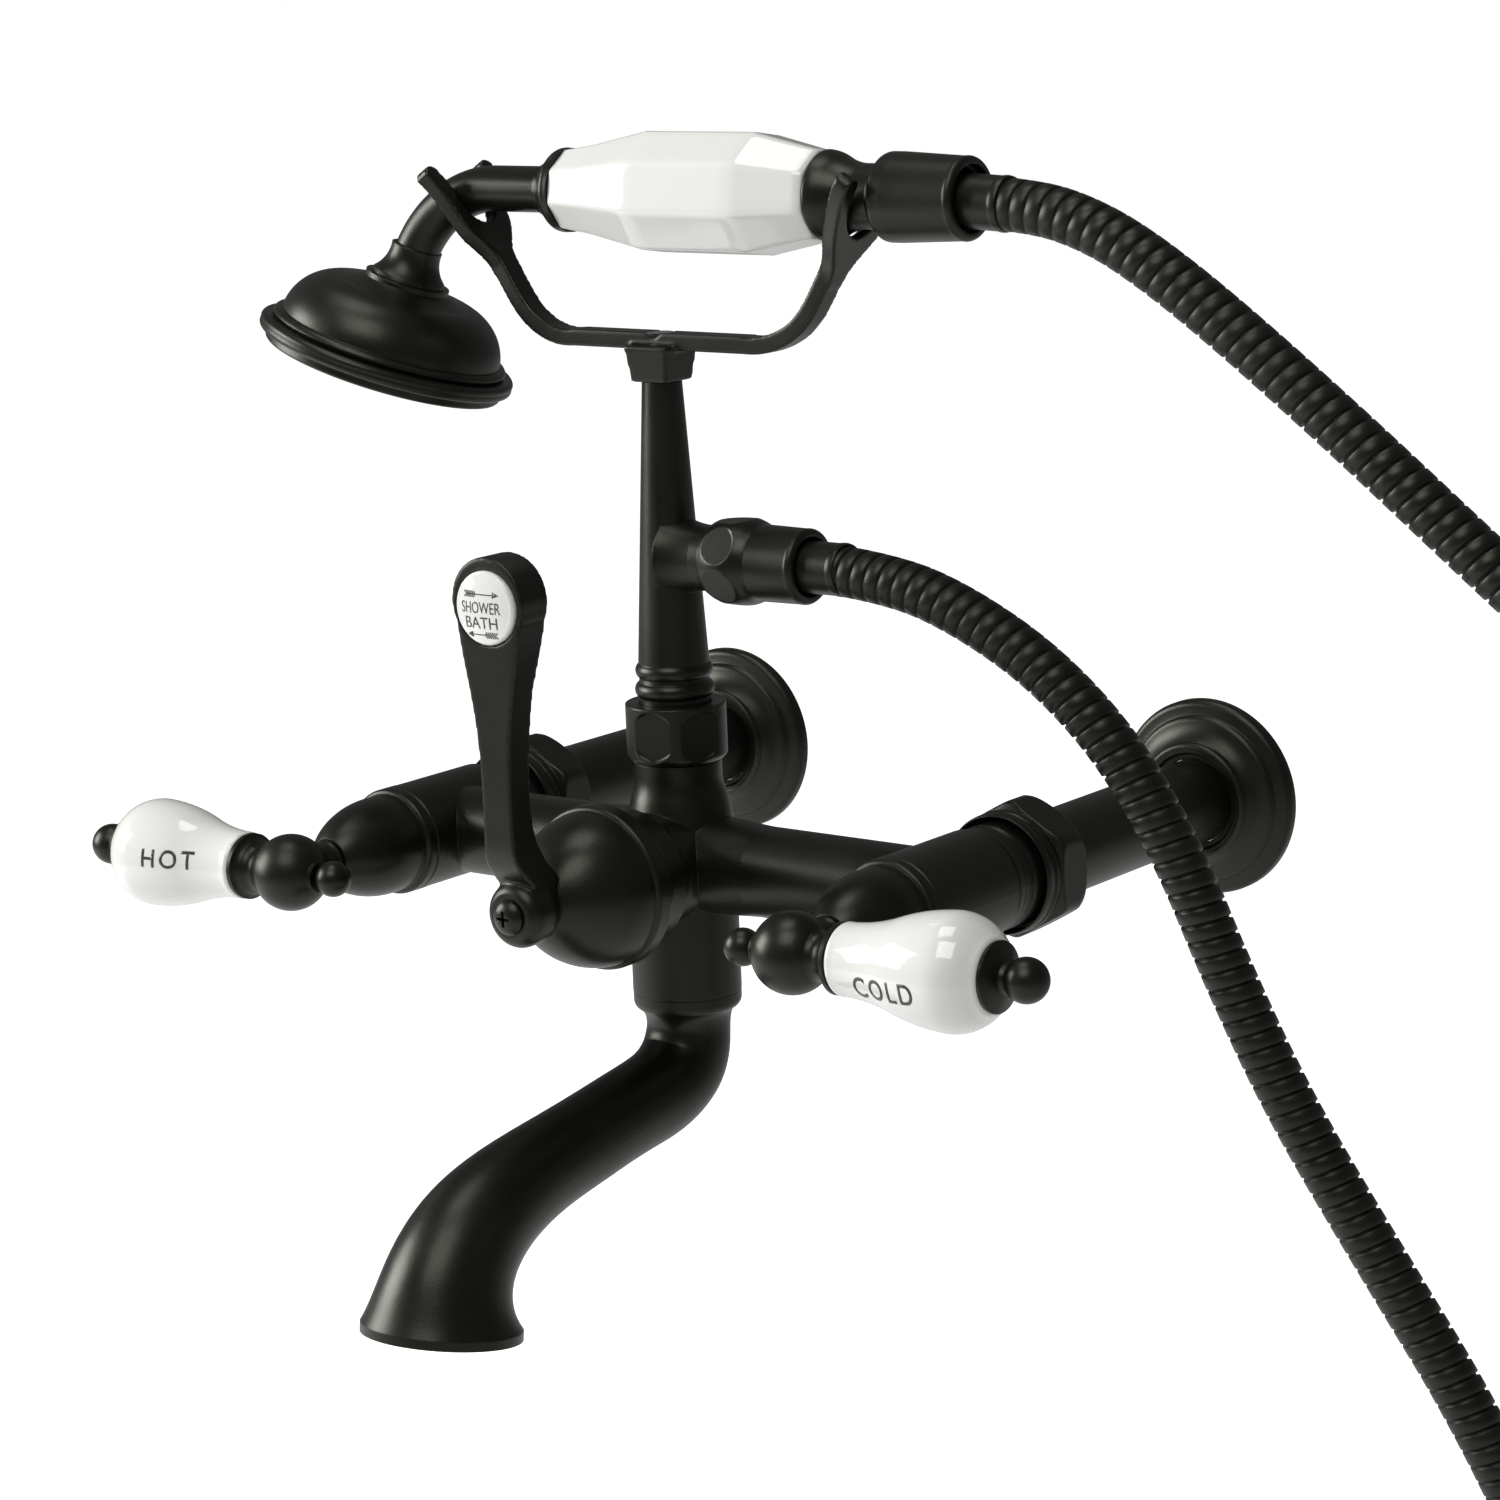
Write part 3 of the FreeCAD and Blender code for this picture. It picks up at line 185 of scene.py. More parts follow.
def coated_metal(name, colour, rough, grain):
    """Powder coat: a deep colour with faint cloudy change, a satin sheen that varies, and a fine orange
    peel."""
    material = bpy.data.materials.new(name)
    material.use_nodes = True
    nodes, links = material.node_tree.nodes, material.node_tree.links
    shader = nodes["Principled BSDF"]
    place = nodes.new("ShaderNodeTexCoord")
    clouds = nodes.new("ShaderNodeTexNoise")
    clouds.inputs["Scale"].default_value = 38.0
    clouds.inputs["Detail"].default_value = 5.0
    links.new(place.outputs["Object"], clouds.inputs["Vector"])
    tint = nodes.new("ShaderNodeMix")
    tint.data_type = "RGBA"
    tint.inputs["A"].default_value = tuple(c * 0.82 for c in colour[:3]) + (1.0,)
    tint.inputs["B"].default_value = tuple(c * 1.22 for c in colour[:3]) + (1.0,)
    links.new(clouds.outputs["Fac"], tint.inputs["Factor"])
    links.new(tint.outputs["Result"], shader.inputs["Base Color"])
    sheen = nodes.new("ShaderNodeMapRange")
    sheen.inputs["From Min"].default_value = 0.3
    sheen.inputs["From Max"].default_value = 0.7
    sheen.inputs["To Min"].default_value = rough - 0.05
    sheen.inputs["To Max"].default_value = rough + 0.05
    links.new(clouds.outputs["Fac"], sheen.inputs["Value"])
    links.new(sheen.outputs["Result"], shader.inputs["Roughness"])
    peel = nodes.new("ShaderNodeTexNoise")
    peel.inputs["Scale"].default_value = grain
    peel.inputs["Detail"].default_value = 3.0
    links.new(place.outputs["Object"], peel.inputs["Vector"])
    bump = nodes.new("ShaderNodeBump")
    bump.inputs["Strength"].default_value = 0.22
    bump.inputs["Distance"].default_value = 0.00012
    links.new(peel.outputs["Fac"], bump.inputs["Height"])
    edges = nodes.new("ShaderNodeBevel")
    edges.samples = 4
    edges.inputs["Radius"].default_value = 0.0005
    links.new(edges.outputs["Normal"], bump.inputs["Normal"])
    links.new(bump.outputs["Normal"], shader.inputs["Normal"])
    shader.inputs["Specular IOR Level"].default_value = 0.36
    shader.inputs["Specular Tint"].default_value = (0.97, 1.0, 0.82, 1.0)
    return material


hose_finish = coated_metal("hose_coat", hose_colour, 0.40, 1500.0)
hose_line = points_of_route("hose", hose_route)
hose, hose_centre = wound_hose("hose_wound", hose_line, hose_pitch)
hose.data.materials.append(hose_finish)
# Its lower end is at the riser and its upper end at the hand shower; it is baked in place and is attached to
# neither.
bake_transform(hose)
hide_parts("hose")

# ------------------------------------------------------------ finishes of the pieces that stay as they are
# Cast and turned brass under a satin black coat; the porcelain is slip cast, glazed and fired.
black = coated_metal("black_coat", (0.0045, 0.0045, 0.0037, 1.0), 0.35, 1100.0)


def glazed(name):
    """Porcelain: a warm white body under a clear glaze with a very faint ripple."""
    material = bpy.data.materials.new(name)
    material.use_nodes = True
    nodes, links = material.node_tree.nodes, material.node_tree.links
    shader = nodes["Principled BSDF"]
    place = nodes.new("ShaderNodeTexCoord")
    body = nodes.new("ShaderNodeTexNoise")
    body.inputs["Scale"].default_value = 60.0
    body.inputs["Detail"].default_value = 3.0
    links.new(place.outputs["Object"], body.inputs["Vector"])
    tint = nodes.new("ShaderNodeMix")
    tint.data_type = "RGBA"
    tint.inputs["A"].default_value = (0.80, 0.81, 0.765, 1.0)
    tint.inputs["B"].default_value = (0.85, 0.86, 0.82, 1.0)
    links.new(body.outputs["Fac"], tint.inputs["Factor"])
    links.new(tint.outputs["Result"], shader.inputs["Base Color"])
    ripple = nodes.new("ShaderNodeTexNoise")
    ripple.inputs["Scale"].default_value = 110.0
    links.new(place.outputs["Object"], ripple.inputs["Vector"])
    bump = nodes.new("ShaderNodeBump")
    bump.inputs["Strength"].default_value = 0.05
    bump.inputs["Distance"].default_value = 0.0002
    links.new(ripple.outputs["Fac"], bump.inputs["Height"])
    links.new(bump.outputs["Normal"], shader.inputs["Normal"])
    shader.inputs["Roughness"].default_value = 0.10
    shader.inputs["Coat Weight"].default_value = 0.5
    shader.inputs["Coat Roughness"].default_value = 0.04
    return material


def plain_metal(name, colour, rough):
    """Turned metal with no coat: a cloudy tarnish, and very fine marks in its skin."""
    material = bpy.data.materials.new(name)
    material.use_nodes = True
    nodes, links = material.node_tree.nodes, material.node_tree.links
    shader = nodes["Principled BSDF"]
    place = nodes.new("ShaderNodeTexCoord")
    tarnish = nodes.new("ShaderNodeTexNoise")
    tarnish.inputs["Scale"].default_value = 90.0
    tarnish.inputs["Detail"].default_value = 6.0
    links.new(place.outputs["Object"], tarnish.inputs["Vector"])
    tint = nodes.new("ShaderNodeMix")
    tint.data_type = "RGBA"
    tint.inputs["A"].default_value = tuple(0.72 * c for c in colour) + (1.0,)
    tint.inputs["B"].default_value = (*colour, 1.0)
    links.new(tarnish.outputs["Fac"], tint.inputs["Factor"])
    links.new(tint.outputs["Result"], shader.inputs["Base Color"])
    marks = nodes.new("ShaderNodeTexNoise")
    marks.inputs["Scale"].default_value = 2600.0
    links.new(place.outputs["Object"], marks.inputs["Vector"])
    bump = nodes.new("ShaderNodeBump")
    bump.inputs["Strength"].default_value = 0.15
    bump.inputs["Distance"].default_value = 0.00005
    links.new(marks.outputs["Fac"], bump.inputs["Height"])
    links.new(bump.outputs["Normal"], shader.inputs["Normal"])
    shader.inputs["Metallic"].default_value = 1.0
    shader.inputs["Roughness"].default_value = rough
    return material


def soft_matter(name, colour, rough, grain):
    """Rubber, fibre or bare ceramic: one dull colour with a speckle, and a slightly uneven skin."""
    material = bpy.data.materials.new(name)
    material.use_nodes = True
    nodes, links = material.node_tree.nodes, material.node_tree.links
    shader = nodes["Principled BSDF"]
    place = nodes.new("ShaderNodeTexCoord")
    speckle = nodes.new("ShaderNodeTexNoise")
    speckle.inputs["Scale"].default_value = grain
    speckle.inputs["Detail"].default_value = 4.0
    links.new(place.outputs["Object"], speckle.inputs["Vector"])
    tint = nodes.new("ShaderNodeMix")
    tint.data_type = "RGBA"
    tint.inputs["A"].default_value = tuple(0.7 * c for c in colour) + (1.0,)
    tint.inputs["B"].default_value = (*colour, 1.0)
    links.new(speckle.outputs["Fac"], tint.inputs["Factor"])
    links.new(tint.outputs["Result"], shader.inputs["Base Color"])
    bump = nodes.new("ShaderNodeBump")
    bump.inputs["Strength"].default_value = 0.3
    bump.inputs["Distance"].default_value = 0.0001
    links.new(speckle.outputs["Fac"], bump.inputs["Height"])
    links.new(bump.outputs["Normal"], shader.inputs["Normal"])
    shader.inputs["Roughness"].default_value = rough
    return material


porcelain = glazed("white_glaze")
slot_finish = {
    "matte_black": black, "matte_black_hose": black, "nozzle_plate": black,
    "black_screw": coated_metal("screw_coat", (0.0040, 0.0040, 0.0036, 1.0), 0.34, 1600.0),
    "white_porcelain": porcelain, "hot_porcelain": porcelain,
    "cold_porcelain": porcelain, "button_porcelain": porcelain,
    "brass": plain_metal("bare_brass", (0.70, 0.49, 0.20), 0.30),
    "steel": plain_metal("bare_steel", (0.56, 0.56, 0.55), 0.28),
    "white_ceramic_inside": soft_matter("bare_ceramic", (0.72, 0.71, 0.67), 0.55, 700.0),
    "black_rubber": soft_matter("seal_rubber", (0.016, 0.016, 0.016), 0.62, 1400.0),
    "grey_fibre": soft_matter("washer_fibre", (0.20, 0.19, 0.18), 0.80, 900.0),
}
for subpart in frame["record"]["subparts"]:
    mesh = frame["nodes"][subpart["node"]].data
    mesh.materials.clear()
    mesh.materials.append(slot_finish[subpart["material_slot"]])

# ------------------------------------------------------------ porcelain of the two levers
# A pear-shaped sleeve of glazed porcelain on each lever, slipped over the lever's rod and held by the
# end cap. The hot one lies level; the cold one is lifted by two degrees. Each has its word fired into
# the glaze.
ink_colour = (0.035, 0.036, 0.034, 1.0)
inlet_x = 0.0889
lever_y = -0.2061
cold_lift = math.radians(2.0)


def arc_through(start, through, end, count=10):
    """Points of the circle through three points, from just after the first to the last."""
    a, b, c = (np.array(p, float) for p in (start, through, end))
    d = 2.0 * (a[0] * (b[1] - c[1]) + b[0] * (c[1] - a[1]) + c[0] * (a[1] - b[1]))
    if abs(d) < 1e-9:
        return [tuple(c)]
    sq = [float(p @ p) for p in (a, b, c)]
    mid = np.array([(sq[0] * (b[1] - c[1]) + sq[1] * (c[1] - a[1]) + sq[2] * (a[1] - b[1])) / d,
                    (sq[0] * (c[0] - b[0]) + sq[1] * (a[0] - c[0]) + sq[2] * (b[0] - a[0])) / d])
    angles = [math.atan2(*(p - mid)[::-1]) for p in (a, b, c)]
    one_way = (angles[2] - angles[0]) % (2 * math.pi)
    sweep = one_way if (angles[1] - angles[0]) % (2 * math.pi) < one_way else one_way - 2 * math.pi
    turn = angles[0] + sweep * np.linspace(0, 1, count + 1)[1:]
    radius = np.linalg.norm(a - mid)
    return [tuple(mid + radius * np.array([math.cos(t), math.sin(t)])) for t in turn]


def profile(items, ease=0.3, loop=False):
    """An outline in millimetres of corners, and of arcs given as (through, end); each sharp corner is
    eased by the curve (1-t)^2 a + 2 t (1-t) corner + t^2 b between points a and b a short way along its
    two sides."""
    line = []
    for item in items:
        if isinstance(item[0], tuple):
            line += arc_through(line[-1], item[0], item[1])
        else:
            line.append(tuple(map(float, item)))
    line = np.array(line)
    line = line[np.concatenate([[True], np.linalg.norm(np.diff(line, axis=0), axis=1) > 1e-6])]
    count = len(line)
    made = []
    for i in range(count):
        if not loop and i in (0, count - 1):
            made.append(line[i])
            continue
        back, ahead = line[i - 1] - line[i], line[(i + 1) % count] - line[i]
        lb, la = np.linalg.norm(back), np.linalg.norm(ahead)
        turn = math.pi - math.acos(np.clip(back @ ahead / (lb * la), -1, 1))
        if turn < math.radians(17):
            made.append(line[i])
            continue
        a, b = line[i] + back / lb * min(ease, 0.4 * lb), line[i] + ahead / la * min(ease, 0.4 * la)
        for t in (0.0, 0.25, 0.5, 0.75, 1.0):
            made.append((1 - t) ** 2 * a + 2 * t * (1 - t) * line[i] + t * t * b)
    return np.array(made)


def axes_about(axis):
    """Two directions square to an axis, so that u, v and the axis are right-handed."""
    a = np.array(axis, float) / np.linalg.norm(axis)
    u = np.cross(a, (0.0, 0.0, 1.0)) if abs(a[2]) < 0.9 else np.cross(a, (0.0, 1.0, 0.0))
    u /= np.linalg.norm(u)
    return a, u, np.cross(a, u)


def spun(outline_mm, origin, axis, around=96, loop=False, shape=None):
    """Surface of revolution in metres: origin + h axis + r (cos t u + sin t v), with r changed by
    shape(r, h, t)."""
    a, u, v = axes_about(axis)
    r, h = outline_mm[:, 0:1] * 0.001, outline_mm[:, 1:2] * 0.001
    t = np.linspace(0, 2 * np.pi, around, endpoint=False)[None, :]
    radius = r + 0.0 * t if shape is None else shape(r + 0.0 * t, h + 0.0 * t, t + 0.0 * r)
    points = (np.array(origin)[None, None, :] + h[..., None] * a
              + radius[..., None] * (np.cos(t)[..., None] * u + np.sin(t)[..., None] * v))
    rows = len(outline_mm)
    i, j = np.meshgrid(np.arange(rows if loop else rows - 1), np.arange(around), indexing="ij")
    i2, j2 = (i + 1) % rows, (j + 1) % around
    corners = [i * around + j, i * around + j2, i2 * around + j2, i2 * around + j]
    faces = np.stack(corners, axis=2).reshape(-1, 4)
    return points.reshape(-1, 3), faces


def whole(name, surfaces):
    """One piece from one or more closed surfaces, each with its doubled points joined and its faces
    outwards."""
    work = bmesh.new()
    for points, faces in surfaces:
        held = bpy.data.meshes.new("part")
        held.from_pydata(points.tolist(), [], faces.tolist())
        part = bmesh.new()
        part.from_mesh(held)
        bmesh.ops.remove_doubles(part, verts=part.verts, dist=2e-7)
        bmesh.ops.dissolve_degenerate(part, edges=part.edges, dist=1e-8)
        bmesh.ops.recalc_face_normals(part, faces=part.faces)
        part.to_mesh(held)
        part.free()
        work.from_mesh(held)
        bpy.data.meshes.remove(held)
    mesh = bpy.data.meshes.new(name)
    work.to_mesh(mesh)
    work.free()
    mesh.shade_smooth()
    piece = bpy.data.objects.new(name, mesh)
    bpy.context.scene.collection.objects.link(piece)
    return piece


def finished(piece, material, body, slot, *stands_for):
    """Gives a piece its finish and its body, and hides the nodes that it stands for; slot is not used."""
    piece.data.materials.clear()
    piece.data.materials.append(material)
    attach(piece, body)
    if stands_for:
        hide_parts(*stands_for)
    return piece


pear = profile([
    (3.2, 16.6), (8.8, 16.6), ((9.5, 17.2), (9.7, 18.4)), ((10.4, 26.0), (12.4, 34.0)),
    ((14.6, 42.0), (15.6, 50.0)),
    ((14.2, 57.6), (10.6, 62.2)), ((9.9, 63.0), (8.9, 63.4)), (3.2, 63.4),
], 0.35, True)
pear_skin = np.array([p for p in pear if p[0] > 8.8])


def ink(name):
    """Fired dark grey ink: slightly uneven in tone, nearly as glossy as the glaze over it."""
    material = bpy.data.materials.new(name)
    material.use_nodes = True
    nodes, links = material.node_tree.nodes, material.node_tree.links
    shader = nodes["Principled BSDF"]
    place = nodes.new("ShaderNodeTexCoord")
    fleck = nodes.new("ShaderNodeTexNoise")
    fleck.inputs["Scale"].default_value = 2200.0
    links.new(place.outputs["Object"], fleck.inputs["Vector"])
    tint = nodes.new("ShaderNodeMix")
    tint.data_type = "RGBA"
    tint.inputs["A"].default_value = ink_colour
    tint.inputs["B"].default_value = tuple(2.0 * c for c in ink_colour[:3]) + (1.0,)
    links.new(fleck.outputs["Fac"], tint.inputs["Factor"])
    links.new(tint.outputs["Result"], shader.inputs["Base Color"])
    shader.inputs["Roughness"].default_value = 0.25
    return material


lettering = ink("fired_ink")


def flat_word(word, wide, tall, spread=1.0, heavy=0.0):
    """A word's outline as a fine flat mesh, centred on 0 and scaled to a width and a height in
    millimetres."""
    text = bpy.data.curves.new("word", "FONT")
    text.body = word
    text.space_character = spread
    text.offset = heavy
    text.resolution_u = 6
    holder = bpy.data.objects.new("word", text)
    mesh = bpy.data.meshes.new_from_object(holder)
    work = bmesh.new()
    work.from_mesh(mesh)
    bmesh.ops.triangulate(work, faces=work.faces)
    bmesh.ops.remove_doubles(work, verts=work.verts, dist=1e-5)
    for _ in range(3):
        long_edges = [e for e in work.edges if e.calc_length() > 0.12]
        bmesh.ops.subdivide_edges(work, edges=long_edges, cuts=1)
        bmesh.ops.triangulate(work, faces=work.faces)
    work.to_mesh(mesh)
    work.free()
    flat = np.empty(len(mesh.vertices) * 3)
    mesh.vertices.foreach_get("co", flat)
    flat = flat.reshape(-1, 3)[:, :2]
    faces = np.empty(len(mesh.polygons) * 3, dtype=np.int32)
    mesh.polygons.foreach_get("vertices", faces)
    faces = faces.reshape(-1, 3)
    bpy.data.objects.remove(holder)
    bpy.data.curves.remove(text)
    bpy.data.meshes.remove(mesh)
    low, high = flat.min(0), flat.max(0)
    flat = (flat - (low + high) / 2) / (high - low) * np.array([wide, tall])
    return flat, faces


def raised(name, points, faces, outward, depth=0.00006):
    """A skin of ink: the flat faces a hair above the surface, their copies just under it, and a wall
    between."""
    count = len(points)
    sides = np.concatenate([faces[:, [0, 1]], faces[:, [1, 2]], faces[:, [2, 0]]])
    rim = sides[~np.isin(sides[:, 1] * count + sides[:, 0], sides[:, 0] * count + sides[:, 1])]
    walls = np.stack([rim[:, 1], rim[:, 0], rim[:, 0] + count, rim[:, 1] + count], axis=1)
    both = np.concatenate([points + outward * depth, points - outward * 0.0001])
    mesh = bpy.data.meshes.new(name)
    mesh.from_pydata(both.tolist(), [], faces.tolist() + (faces[:, ::-1] + count).tolist() + walls.tolist())
    mesh.update()
    piece = bpy.data.objects.new(name, mesh)
    bpy.context.scene.collection.objects.link(piece)
    return closed_up(piece, 1e-7)


def on_lever(flat, side, lift, along, height, slope=0.0):
    """Wraps a flat word on the pear: the distance along the lever is its reading direction, and its
    height v is kept, so the angle round the lever is asin(v / r)."""
    c, s = math.cos(slope), math.sin(slope)
    x, y = flat[:, 0] * c - flat[:, 1] * s, flat[:, 0] * s + flat[:, 1] * c
    t = along + side * x
    order = np.argsort(pear_skin[:, 1])
    r = np.interp(t, pear_skin[order, 1], pear_skin[order, 0])
    phi = np.arcsin(np.clip((height + y) / r, -1, 1))
    axis = np.array([side * math.cos(lift), 0.0, math.sin(lift)])
    up = np.array([-side * math.sin(lift), 0.0, math.cos(lift)])
    out = np.cos(phi)[:, None] * np.array([0.0, -1.0, 0.0]) + np.sin(phi)[:, None] * up
    centre = np.array([side * inlet_x, lever_y, 0.0])
    return centre + axis * t[:, None] * 0.001 + out * r[:, None] * 0.001, out


for water, side, lift, word, wide, tall, along, height, slope in (
        ("hot", -1, 0.0, "HOT", 16.8, 5.3, 36.6, 2.2, 0.0),
        ("cold", 1, cold_lift, "COLD", 22.0, 5.7, 37.2, -3.4, math.radians(3.0))):
    direction = (side * math.cos(lift), 0.0, math.sin(lift))
    sleeve = whole(water + "_pear", [spun(pear, (side * inlet_x, lever_y, 0.0), direction, 128, True)])
    finished(sleeve, porcelain, water + "_handle", water + "_porcelain", water + "_porcelain")
    flat, faces = flat_word(word, wide, tall, 1.28, 0.014)
    points, out = on_lever(flat, side, lift, along, height, slope)
    letters = raised(water + "_word", points, faces, out)
    finished(letters, lettering, water + "_handle", water + "_porcelain")

# ------------------------------------------------------------ porcelain grip of the hand shower
# One long eight-sided sleeve of glazed porcelain with soft arrises, tapered to both ends, threaded on a tube
# between the two collars. It lies rolled a little about its length, as the shower rests in the cradle.
hand_axis = (1.0, 0.0, 0.0)
hand_roll = math.radians(-9.2)
body_y = -0.1398
hand_z = 0.1878
grip_line = profile([(12.0, -29.0), (13.2, -18.5), (17.4, 1.0), (17.4, 38.0), (13.0, 58.6)], 3.0)
grip_line = np.concatenate([[(6.0, -29.0), (11.2, -29.0), (11.75, -28.7)], grip_line[1:-1],
                            [(12.75, 58.2), (12.2, 58.6), (6.0, 58.6)]])
fine = np.linspace(0, 1, 9)[:-1, None]
runs = zip(grip_line[2:-3], grip_line[3:-2])
middle = np.concatenate([start + (end - start) * fine for start, end in runs])
grip_line = np.concatenate([grip_line[:2], middle, grip_line[-3:]])


def eight_sided(r, h, t):
    """r cos 22.5 / (sum of max(0, cos(t - t_k))^p)^(1/p) over eight faces k: flat faces that meet in
    soft arrises. Near the bore the outline stays round."""
    faces = np.arange(8) * math.pi / 4
    lean = np.maximum(np.cos(t[..., None] - faces - grip_turn), 0.0)
    flat = r * math.cos(math.pi / 8) / np.sum(lean ** 44, axis=-1) ** (1 / 44)
    return np.where(r < 0.0061, r, flat)


a, u, v = axes_about(hand_axis)
facet = np.array([0.0, math.cos(hand_roll), math.sin(hand_roll)])
grip_turn = math.atan2(float(facet @ v), float(facet @ u))
grip = whole("grip", [spun(grip_line, (0.0, body_y, hand_z), hand_axis, 256, True, eight_sided)])
finished(grip, porcelain, "handset", "white_porcelain", "hand_grip")

# ------------------------------------------------------------ button of the diverter lever
# A domed disc of glazed porcelain, glued in the round seat of the lever's paddle, with two words and two
# arrows.
button_line = profile([
    (0, -2.5), (10.0, -2.5), (10.0, 0.1), ((9.7, 0.7), (9.0, 1.0)), ((5.0, 1.75), (0.0, 2.0)),
], 0.2)
button = whole("button", [spun(button_line, (0.0, -0.2175, 0.085), (0.0, -1.0, 0.0), 128)])
finished(button, porcelain, "diverter_handle", "button_porcelain", "diverter_button")


def arrow(wide, left):
    """A feathered arrow as flat quads in millimetres: shaft, head, and slanted feathers above and below
    the tail."""
    stops = np.linspace(-wide / 2 + 1.0, wide / 2 - 1.6, 24)
    quads = [[(x, -0.14), (x2, -0.14), (x2, 0.14), (x, 0.14)] for x, x2 in zip(stops[:-1], stops[1:])]
    quads.append([(wide / 2 - 2.1, -0.85), (wide / 2, 0.0), (wide / 2, 0.001), (wide / 2 - 2.1, 0.85)])
    for k in range(6):
        x = -wide / 2 + 0.3 + 0.68 * k
        for s in (-1, 1):
            barb = [(x, s * 0.85), (x + 0.42, s * 0.85), (x + 0.94, s * 0.12), (x + 0.52, s * 0.12)]
            quads.append(barb[::-s])
    flat = np.array(quads).reshape(-1, 2) * (-1 if left else 1, 1)
    faces = np.arange(len(flat)).reshape(-1, 4)
    return flat, faces[:, ::-1] if left else faces


marks = []
for flat_faces, x, z in ((arrow(12.4, False), -0.4, 3.9), (flat_word("SHOWER", 13.4, 3.1), -0.5, 0.35),
                         (flat_word("BATH", 11.0, 3.1), -0.5, -3.7), (arrow(11.0, True), -0.4, -7.0)):
    flat, faces = flat_faces
    flat = flat + (x, z)
    reach = np.linalg.norm(flat, axis=1)
    dome = button_line[button_line[:, 1] > 0.3][::-1]
    rise = np.interp(reach, dome[:, 0], dome[:, 1])
    points = np.stack([flat[:, 0], -217.5 - rise, 85.0 + flat[:, 1]], axis=1) * 0.001
    if faces.shape[1] == 4:
        faces = np.concatenate([faces[:, [0, 1, 2]], faces[:, [0, 2, 3]]])
    marks.append((points, faces))
offsets = np.cumsum([0] + [len(p) for p, _ in marks[:-1]])
points = np.concatenate([p for p, _ in marks])
faces = np.concatenate([f + o for (_, f), o in zip(marks, offsets)])
signs = raised("button_words", points, faces, np.tile((0.0, -1.0, 0.0), (len(points), 1)))
finished(signs, lettering, "diverter_handle", "button_porcelain")

# ------------------------------------------------------------ cast and forged pieces in black
# The cradle is cast in one piece with its two forks; the diverter lever is forged. Both are tumbled
# before they are coated, so every edge is soft.
def softened(name, node, voxel, passes):
    """A copy of a CAD piece as an even skin of small cells, each point then moved towards the mean of its
    neighbours a few times, which rounds the edges by about the size of a cell."""
    piece = bpy.data.objects.new(name, frame["nodes"][node].data.copy())
    bpy.context.scene.collection.objects.link(piece)
    closed_up(piece, 1e-6)
    cells = piece.modifiers.new("cells", "REMESH")
    cells.mode = "VOXEL"
    cells.voxel_size = voxel
    cells.use_smooth_shade = True
    even = piece.modifiers.new("even", "SMOOTH")
    even.factor = 0.5
    even.iterations = passes
    bpy.context.view_layer.update()
    held = piece.evaluated_get(bpy.context.evaluated_depsgraph_get())
    mesh = bpy.data.meshes.new_from_object(held)
    piece.modifiers.clear()
    old = piece.data
    piece.data = mesh
    bpy.data.meshes.remove(old)
    mesh.shade_smooth()
    return piece


cell = 0.00055
cradle_cast = softened("cradle_cast", "cradle", cell, 3)
finished(cradle_cast, black, "faucet", "matte_black", "cradle")
diverter_arm = softened("diverter_arm", "diverter_lever", cell, 5)
finished(diverter_arm, black, "diverter_handle", "matte_black", "diverter_lever")

# ------------------------------------------------------------ union nuts
# A hexagon nut of forged brass at the inner end of each wall arm, with soft corners and a domed chamfer
# towards the wall. Towards the valve body it has a turned bead and a round rim, which goes over the
# body's shank.
nut_line = profile([
    (12.75, 93.4), (15.6, 93.4), ((17.9, 94.0), (19.2, 95.6)), (20.1, 97.6), (20.1, 102.4),
    ((19.7, 104.3), (18.5, 105.4)), (17.1, 105.9), ((16.95, 106.3), (17.1, 106.7)),
    ((17.4, 107.7), (17.05, 108.6)), ((16.85, 109.0), (17.0, 109.5)), ((17.2, 111.1), (16.95, 112.1)),
    (16.8, 112.5), (16.3, 112.5), (16.3, 107.3), (15.0, 107.3), (15.0, 95.3), (12.75, 95.3),
], 0.4, True)
steps = np.linspace(0, 1, 13)[:-1, None]
side_at = np.argmax(np.abs(np.diff(nut_line[:, 1])) * (nut_line[:-1, 0] > 19.5))
side_points = nut_line[side_at] + (nut_line[side_at + 1] - nut_line[side_at]) * steps
nut_line = np.concatenate([nut_line[:side_at], side_points, nut_line[side_at + 1:]])


def six_sided(r, h, t):
    """The soft minimum (r^-n + flat^-n)^(-1/n) of the turned outline and of a hexagon with round
    corners, which is apothem / (sum of max(0, cos(t - t_k))^p)^(1/p) over its six flats k. Inside the
    bore the outline stays round."""
    lean = np.maximum(np.cos(t[..., None] - np.arange(6) * math.pi / 3), 0.0)
    flat = 0.0175 / np.sum(lean ** 26, axis=-1) ** (1 / 26)
    soft = (r ** -90.0 + flat ** -90.0) ** (-1 / 90.0)
    return np.where((r < 0.0166), r, soft)


for side, x in (("left", -inlet_x), ("right", inlet_x)):
    nut = whole(side + "_nut", [spun(nut_line, (x, 0.0, 0.0), (0.0, -1.0, 0.0), 192, True, six_sided)])
    finished(nut, black, "faucet", "matte_black", side + "_union_nut")

